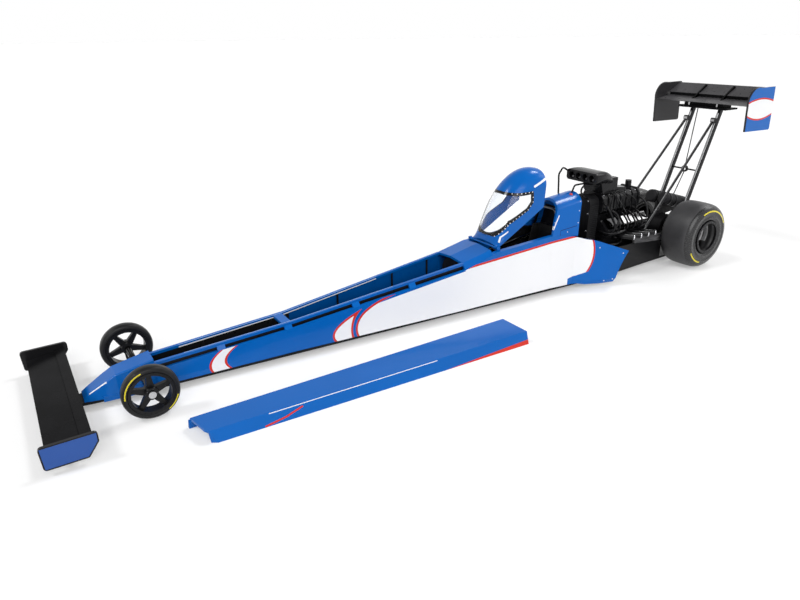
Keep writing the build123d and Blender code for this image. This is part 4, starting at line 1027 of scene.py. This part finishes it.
def make_trough():
    walls, posts, tubes = [], [], []
    for _, side in SIDES:
        for ahead, behind in zip(WALL_X, WALL_X[1:]):
            corners = (
                (ahead, PAN_TOP), (behind, PAN_TOP), (behind, rail_foot(behind)), (ahead, rail_foot(ahead)),
            )
            outline = [(rear(x), side * (rail_middle(x) - WALL_T / 2), up(z)) for x, z in corners]
            walls.append(slab(outline, (0, side * WALL_T, 0)))
        for x in POST_X:
            y = side * (rail_middle(x) - WALL_T / 2 - POST_IN)
            posts.append([(rear(x), y, up(z)) for z in (PAN_TOP, rail_foot(x))])
        tubes.append([
            (rear(x), side * (rail_middle(x) - TUBE_IN), up(TUBE_Z + (WALL_X[0] - x) * TUBE_RISE))
            for x in TUBE_X
        ])
    add_mesh("trough_walls", joined(walls), "liner", smooth=False)
    wires("trough_posts", posts, POST_R, "satin")
    wires("trough_tubes", tubes, TUBE_R, "gloss")
    angles = [math.pi * k / ARCH_STEPS for k in range(ARCH_STEPS + 1)]
    arch = [(ARCH_R * math.cos(angle), ARCH_Z + ARCH_R * math.sin(angle)) for angle in angles]
    outline = [(rear(BULKHEAD_X), y, up(z)) for y, z in ((ARCH_R, PAN_TOP), *arch, (-ARCH_R, PAN_TOP))]
    add_mesh("bulkhead", slab(outline, (-BULKHEAD_T, 0, 0)), "satin", smooth=False)


# Pad under the rear wing, and strips that close the slot between plane and flap of each wing

MOUNT_PAD = ((-25.5, 89.6), (-25.5, 91.9), (-34.0, 93.4), (-34.0, 89.3))
MOUNT_PAD_HALF = 13.0
WING_SLOTS = (  # name, half span, then the lower edge and the upper edge as (x, z)
    ("front_slot", 38.6, (WHEELBASE + 27.2, 8.0), (WHEELBASE + 26.0, 8.3)),
    ("rear_slot", 29.4, (-32.6, 94.2), (-32.4, 96.25)),
)
SLOT_T = 0.3


def make_wing_slots():
    pad = bar(MOUNT_PAD, MOUNT_PAD_HALF)
    add_mesh("mount_pad", pad, "wing", smooth=False)
    for name, half, low, high in WING_SLOTS:
        corners = ((-half, low), (half, low), (half, high), (-half, high))
        strip = slab([(rear(x), y, up(z)) for y, (x, z) in corners], (-SLOT_T, 0, -SLOT_T / 2))
        add_mesh(name, strip, "wing", smooth=False)


# Shroud and flare fasteners

SHROUD_RIVETS = ((86.6, 36.6), (84.6, 42.6), (82.9, 47.2), (101.6, 43.6), (103.4, 39.0), (95.6, 33.2))
FLARE_RIVETS = ((64.6, 19.2), (76.2, 22.6), (69.4, 4.6), (74.6, 4.2))
BODY_RAY = 60.0
CAP_FROM = (84.9, 3.0, 80.0)


def make_body_fasteners():
    for hand, side in SIDES:
        rows = (
            ("shroud_rivets", "shroud", SHROUD_RIVETS, 0.27, 0.16),
            ("flare_rivets", f"side_panel_{hand}", FLARE_RIVETS, 0.34, 0.2),
        )
        for name, node, places, radius, height in rows:
            starts = [(rear(x), side * BODY_RAY, up(z)) for x, z in places]
            heads(f"{name}_{hand}", surface(node, starts, (0, -side, 0)), radius, height, "rivet")
    x, y, z = CAP_FROM
    place, normal = surface("shroud", [(rear(x), y, up(z))], (0, 0, -1))[0]
    add_mesh("shroud_cap", dome(place, normal, 0.95, 0.6, 20), "red")


# Engine dressing

PIPE_X = (53.0, 46.8, 40.6, 34.4)
PIPE_WAY = (-6.0, 4.2, -0.8)
PIPE_BACK, PIPE_Y, PIPE_Z = 6.0, 18.4, 23.2
PIPE_RIM = ((-0.6, 1.42), (-0.5, 1.5), (0.0, 1.5), (0.06, 1.4), (0.06, 1.04), (-0.6, 1.0))
LEAD_X = (56.2, 49.6, 43.4, 37.2)
LEAD_ROUTE = (  # half width, height
    (4.6, 34.6), (8.0, 37.2), (12.6, 34.6), (15.6, 30.6), (13.8, 27.2), (11.2, 26.2),
)
HOSES = (
    ((64.0, 7.0, 27.5), (66.0, 12.5, 27.0), (58.0, 16.4, 27.2), (50.5, 15.4, 28.0), (48.5, 11.4, 27.6)),
    ((64.0, 6.6, 22.0), (66.4, 12.0, 20.6), (58.0, 14.4, 19.9), (49.5, 12.4, 20.1), (46.6, 7.6, 21.2)),
    (
        (63.4, 6.0, 44.0), (64.0, 10.6, 43.0), (61.5, 13.6, 36.0),
        (60.0, 15.6, 30.0), (62.6, 12.0, 24.0), (63.6, 7.0, 23.5),
    ),
    (
        (62.0, 6.8, 40.0), (60.0, 11.4, 39.6), (56.4, 13.2, 36.4),
        (58.4, 15.8, 32.4), (61.5, 14.0, 28.0), (63.6, 9.0, 26.0),
    ),
    ((33.6, 6.8, 44.0), (31.4, 10.2, 42.0), (30.6, 12.6, 36.0), (31.0, 13.2, 31.0), (33.0, 10.6, 27.6)),
)
LINE_X = (59.6, 54.4, 48.2, 42.0, 36.6)
LINE_START, LINE_STEP, LINE_NARROW = 59.0, 1.7, 0.3
LINKAGE = ((55.4, 6.9, 50.4), (55.0, 8.3, 48.0), (44.4, 9.2, 35.0))
BLOWER_X, BLOWER_PITCH, BLOWER_ROW, BLOWER_Y, BLOWER_RAY = 35.4, 4.4, 7, 5.9, 70.0
GUARD_RAY = 90.0
GUARD_SPOTS = (
    (0, 47.6), (4.4, 45.2), (-4.4, 45.2), (5.1, 38.0), (-5.1, 38.0),
    (4.8, 28.0), (-4.8, 28.0), (4.5, 18.0), (-4.5, 18.0), (0, 9.3),
)
BELT_X, BELT_FOOT_Y, BELT_FOOT_Z, BELT_SPREAD = (64.1, 70.0), 4.48, 14.0, 0.62 / 28.4
TEETH, TOOTH_FROM, TOOTH_PITCH, TOOTH_H, TOOTH_OUT = 24, 15.0, 1.15, 0.6, 0.28
HAT_PORTS = (-7.35, -2.45, 2.45, 7.35)
HAT_X, HAT_Z = 74.6, 58.4
HAT_RIM = ((-0.4, 1.92), (-0.4, 2.2), (0.25, 2.2), (0.4, 2.08), (0.25, 1.86))
FLAP_X, FLAP_Z, FLAP_WAY, FLAP_R, FLAP_T = 73.0, 58.3, (0.85, 0, 0.5), 1.72, 0.25


def placed(route, side):
    """A route of (x, half width, height) on one side, in the model's frame."""
    return [(rear(x), side * y, up(z)) for x, y, z in route]


def line_route(k, x):
    """Route of one line from the hat down to the supercharger's foot."""
    start = LINE_START - LINE_STEP * k
    return (
        (start, 6.4, 49.6), (start - 1.0, 10.4, 49.0), (x + 1.5, 10.8 - LINE_NARROW * k, 43.0),
        (x, 9.4, 37.6), (x - 0.6, 7.0, 35.4),
    )


def make_pipe_rims():
    along, out, rise = PIPE_WAY
    for hand, side in SIDES:
        ends = placed([(x - PIPE_BACK, PIPE_Y, PIPE_Z) for x in PIPE_X], side)
        rims = [turned(end, (along, side * out, rise), PIPE_RIM) for end in ends]
        add_mesh(f"pipe_rims_{hand}", joined(rims), "bright")


def make_engine_lines():
    leads, lines, hoses, rods = [], [], [], []
    for _, side in SIDES:
        leads.extend(placed([(x, y, z) for y, z in LEAD_ROUTE], side) for x in LEAD_X)
        lines.extend(placed(line_route(k, x), side) for k, x in enumerate(LINE_X))
        hoses.extend(placed(route, side) for route in HOSES)
        rods.append(placed(LINKAGE, side))
    wires("plug_leads", leads, 0.55, "gloss")
    wires("blower_lines", lines, 0.36, "gloss")
    wires("engine_hoses", hoses, 0.6, "gloss")
    wires("linkage_rods", rods, 0.32, "chrome")


def make_engine_bolts():
    starts = [
        (rear(BLOWER_X + k * BLOWER_PITCH), y, up(BLOWER_RAY))
        for k in range(BLOWER_ROW) for y in (-BLOWER_Y, BLOWER_Y)
    ]
    heads("blower_bolts", surface("supercharger", starts, (0, 0, -1)), 0.34, 0.32, "bright")
    starts = [(rear(GUARD_RAY), y, up(z)) for y, z in GUARD_SPOTS]
    heads("guard_bolts", surface("belt_drive", starts, (-1, 0, 0)), 0.42, 0.35, "bright")


def make_belt_teeth():
    back, front = BELT_X
    teeth = []
    for _, side in SIDES:
        for k in range(TEETH):
            low = TOOTH_FROM + k * TOOTH_PITCH
            y = BELT_FOOT_Y + (low - BELT_FOOT_Z) * BELT_SPREAD
            corners = ((back, low), (front, low), (front, low + TOOTH_H), (back, low + TOOTH_H))
            outline = [(rear(x), side * y, up(z)) for x, z in corners]
            teeth.append(slab(outline, (0, side * TOOTH_OUT, 0)))
    add_mesh("belt_teeth", joined(teeth), "cloth", smooth=False)


def make_hat():
    rims = [turned((rear(HAT_X), y, up(HAT_Z)), (1, 0, 0), HAT_RIM) for y in HAT_PORTS]
    flaps = [dome((rear(FLAP_X), y, up(FLAP_Z)), FLAP_WAY, FLAP_R, FLAP_T, 20) for y in HAT_PORTS]
    add_mesh("hat_rims", joined(rims), "gloss")
    add_mesh("hat_flaps", joined(flaps), "chrome")


# Straps round the parachute packs, and the apron under them

PACK_FRONT, PACK_BACK, PACK_Y, PACK_R = (7.0, 38.2), (-14.0, 32.4), 4.4, 3.9
STRAP_SHARES = (0.16, 0.42)
STRAP = (
    (-0.9, PACK_R - 0.1), (-0.9, PACK_R + 0.1), (0.0, PACK_R + 0.16),
    (0.9, PACK_R + 0.1), (0.9, PACK_R - 0.1),
)
STRAP_TURNS = 40
APRON = ((6.4, 35.6), (-12.4, 32.2), (-12.4, 27.6), (-4.0, 26.4), (6.4, 26.4))
APRON_HALF = 0.6


def make_pack_straps():
    straps = []
    way = (PACK_BACK[0] - PACK_FRONT[0], 0, PACK_BACK[1] - PACK_FRONT[1])
    for _, side in SIDES:
        for share in STRAP_SHARES:
            x, z = PACK_FRONT[0] + way[0] * share, PACK_FRONT[1] + way[2] * share
            straps.append(turned((rear(x), side * PACK_Y, up(z)), way, STRAP, STRAP_TURNS))
    add_mesh("pack_straps", joined(straps), "satin")
    add_mesh("pack_apron", bar(APRON, APRON_HALF), "cloth", smooth=False)


# Studio

FLOOR_HALF = 20.0
FLOOR_BOUNCE, FLOOR_SEEN, FLOOR_GLOW = 0.84, 0.64, 0.33
AMBIENT = 0.34
CEILING_FROM, CEILING_STEEP, CEILING_DARK = 0.3, 1.8, 0.75
SUNS = (  # name, direction that it comes from, strength, angle in degrees
    ("front_sun", (0.62, -0.14, 0.8), 0.95, 13.0),
    ("rear_sun", (-0.62, -0.1, 0.8), 0.9, 13.0),
    ("near_sun", (0.25, 0.85, 0.55), 1.62, 45.0),
)
SOFTBOX = ((-0.68, 0.2, 0.48), (-0.11, 0.01, 0.03), 0.32, 1.0)  # place, aim, size, power


def seen_rays(tree):
    """1 for rays from the camera, also by way of gloss and glass, and 0 for light that bounces."""
    path = tree.nodes.new("ShaderNodeLightPath")
    camera, glossy, through = [
        Value(tree, path.outputs[f"Is {kind} Ray"]) for kind in ("Camera", "Glossy", "Transmission")
    ]
    return camera | glossy | through


def make_floor():
    """White floor that keeps the shadow."""
    mesh = bpy.data.meshes.new("floor")
    level = -GROUND * MM
    corners = [(x * FLOOR_HALF, y * FLOOR_HALF, level) for x, y in ((-1, -1), (1, -1), (1, 1), (-1, 1))]
    mesh.from_pydata(corners, [], [(0, 1, 2, 3)])
    floor = add_object("floor", mesh)
    material = bpy.data.materials.new("floor_white")
    material.use_nodes = True
    tree = material.node_tree
    tree.nodes.clear()
    kinds = ("OutputMaterial", "BsdfDiffuse", "Emission", "AddShader")
    out, diffuse, glow, total = [tree.nodes.new(f"ShaderNode{kind}") for kind in kinds]
    seen = seen_rays(tree)
    tree.links.new((seen * FLOOR_GLOW).socket, glow.inputs["Strength"])
    tree.links.new((seen * (FLOOR_SEEN - FLOOR_BOUNCE) + FLOOR_BOUNCE).socket, diffuse.inputs["Color"])
    tree.links.new(diffuse.outputs[0], total.inputs[0])
    tree.links.new(glow.outputs[0], total.inputs[1])
    tree.links.new(total.outputs[0], out.inputs["Surface"])
    floor.data.materials.append(material)


def make_world():
    """White surround with a darker ceiling, and a weaker even light."""
    world = bpy.data.worlds.new("studio")
    bpy.context.scene.world = world
    world.use_nodes = True
    tree = world.node_tree
    background = tree.nodes["Background"]
    background.inputs["Color"].default_value = (1, 1, 1, 1)
    seen = seen_rays(tree)
    coordinate = tree.nodes.new("ShaderNodeTexCoord")
    parts = tree.nodes.new("ShaderNodeSeparateXYZ")
    tree.links.new(coordinate.outputs["Generated"], parts.inputs[0])
    height = Value(tree, parts.outputs[2])
    ceiling = ((height - CEILING_FROM) * CEILING_STEEP).at_least(0.0).at_most(1.0)
    level = seen * (ceiling * -CEILING_DARK + 1.0) + (seen * -AMBIENT + AMBIENT)
    tree.links.new(level.socket, background.inputs["Strength"])


def add_lamp(name, kind, power, turn):
    data = bpy.data.lights.new(name, kind)
    data.energy = power
    lamp = add_object(name, data)
    lamp.rotation_euler = turn.to_euler()
    return lamp


def make_lamps():
    """Soft suns and one soft box."""
    for name, way, strength, angle in SUNS:
        lamp = add_lamp(name, "SUN", strength, Vector(way).to_track_quat("Z", "Y"))
        lamp.data.angle = math.radians(angle)
    place, aim, size, power = SOFTBOX
    lamp = add_lamp("softbox", "AREA", power, (Vector(aim) - Vector(place)).to_track_quat("-Z", "Y"))
    lamp.data.size = size
    lamp.location = place


make_camera()
finish_nodes()
make_tyres()
make_wheel_fasteners()
make_barrels()
make_canopy_rivets()
make_trough()
make_wing_slots()
make_body_fasteners()
make_pipe_rims()
make_engine_lines()
make_engine_bolts()
make_belt_teeth()
make_hat()
make_pack_straps()
make_floor()
make_world()
make_lamps()
bpy.context.scene.view_settings.view_transform = "Standard"

bpy.context.view_layer.update()
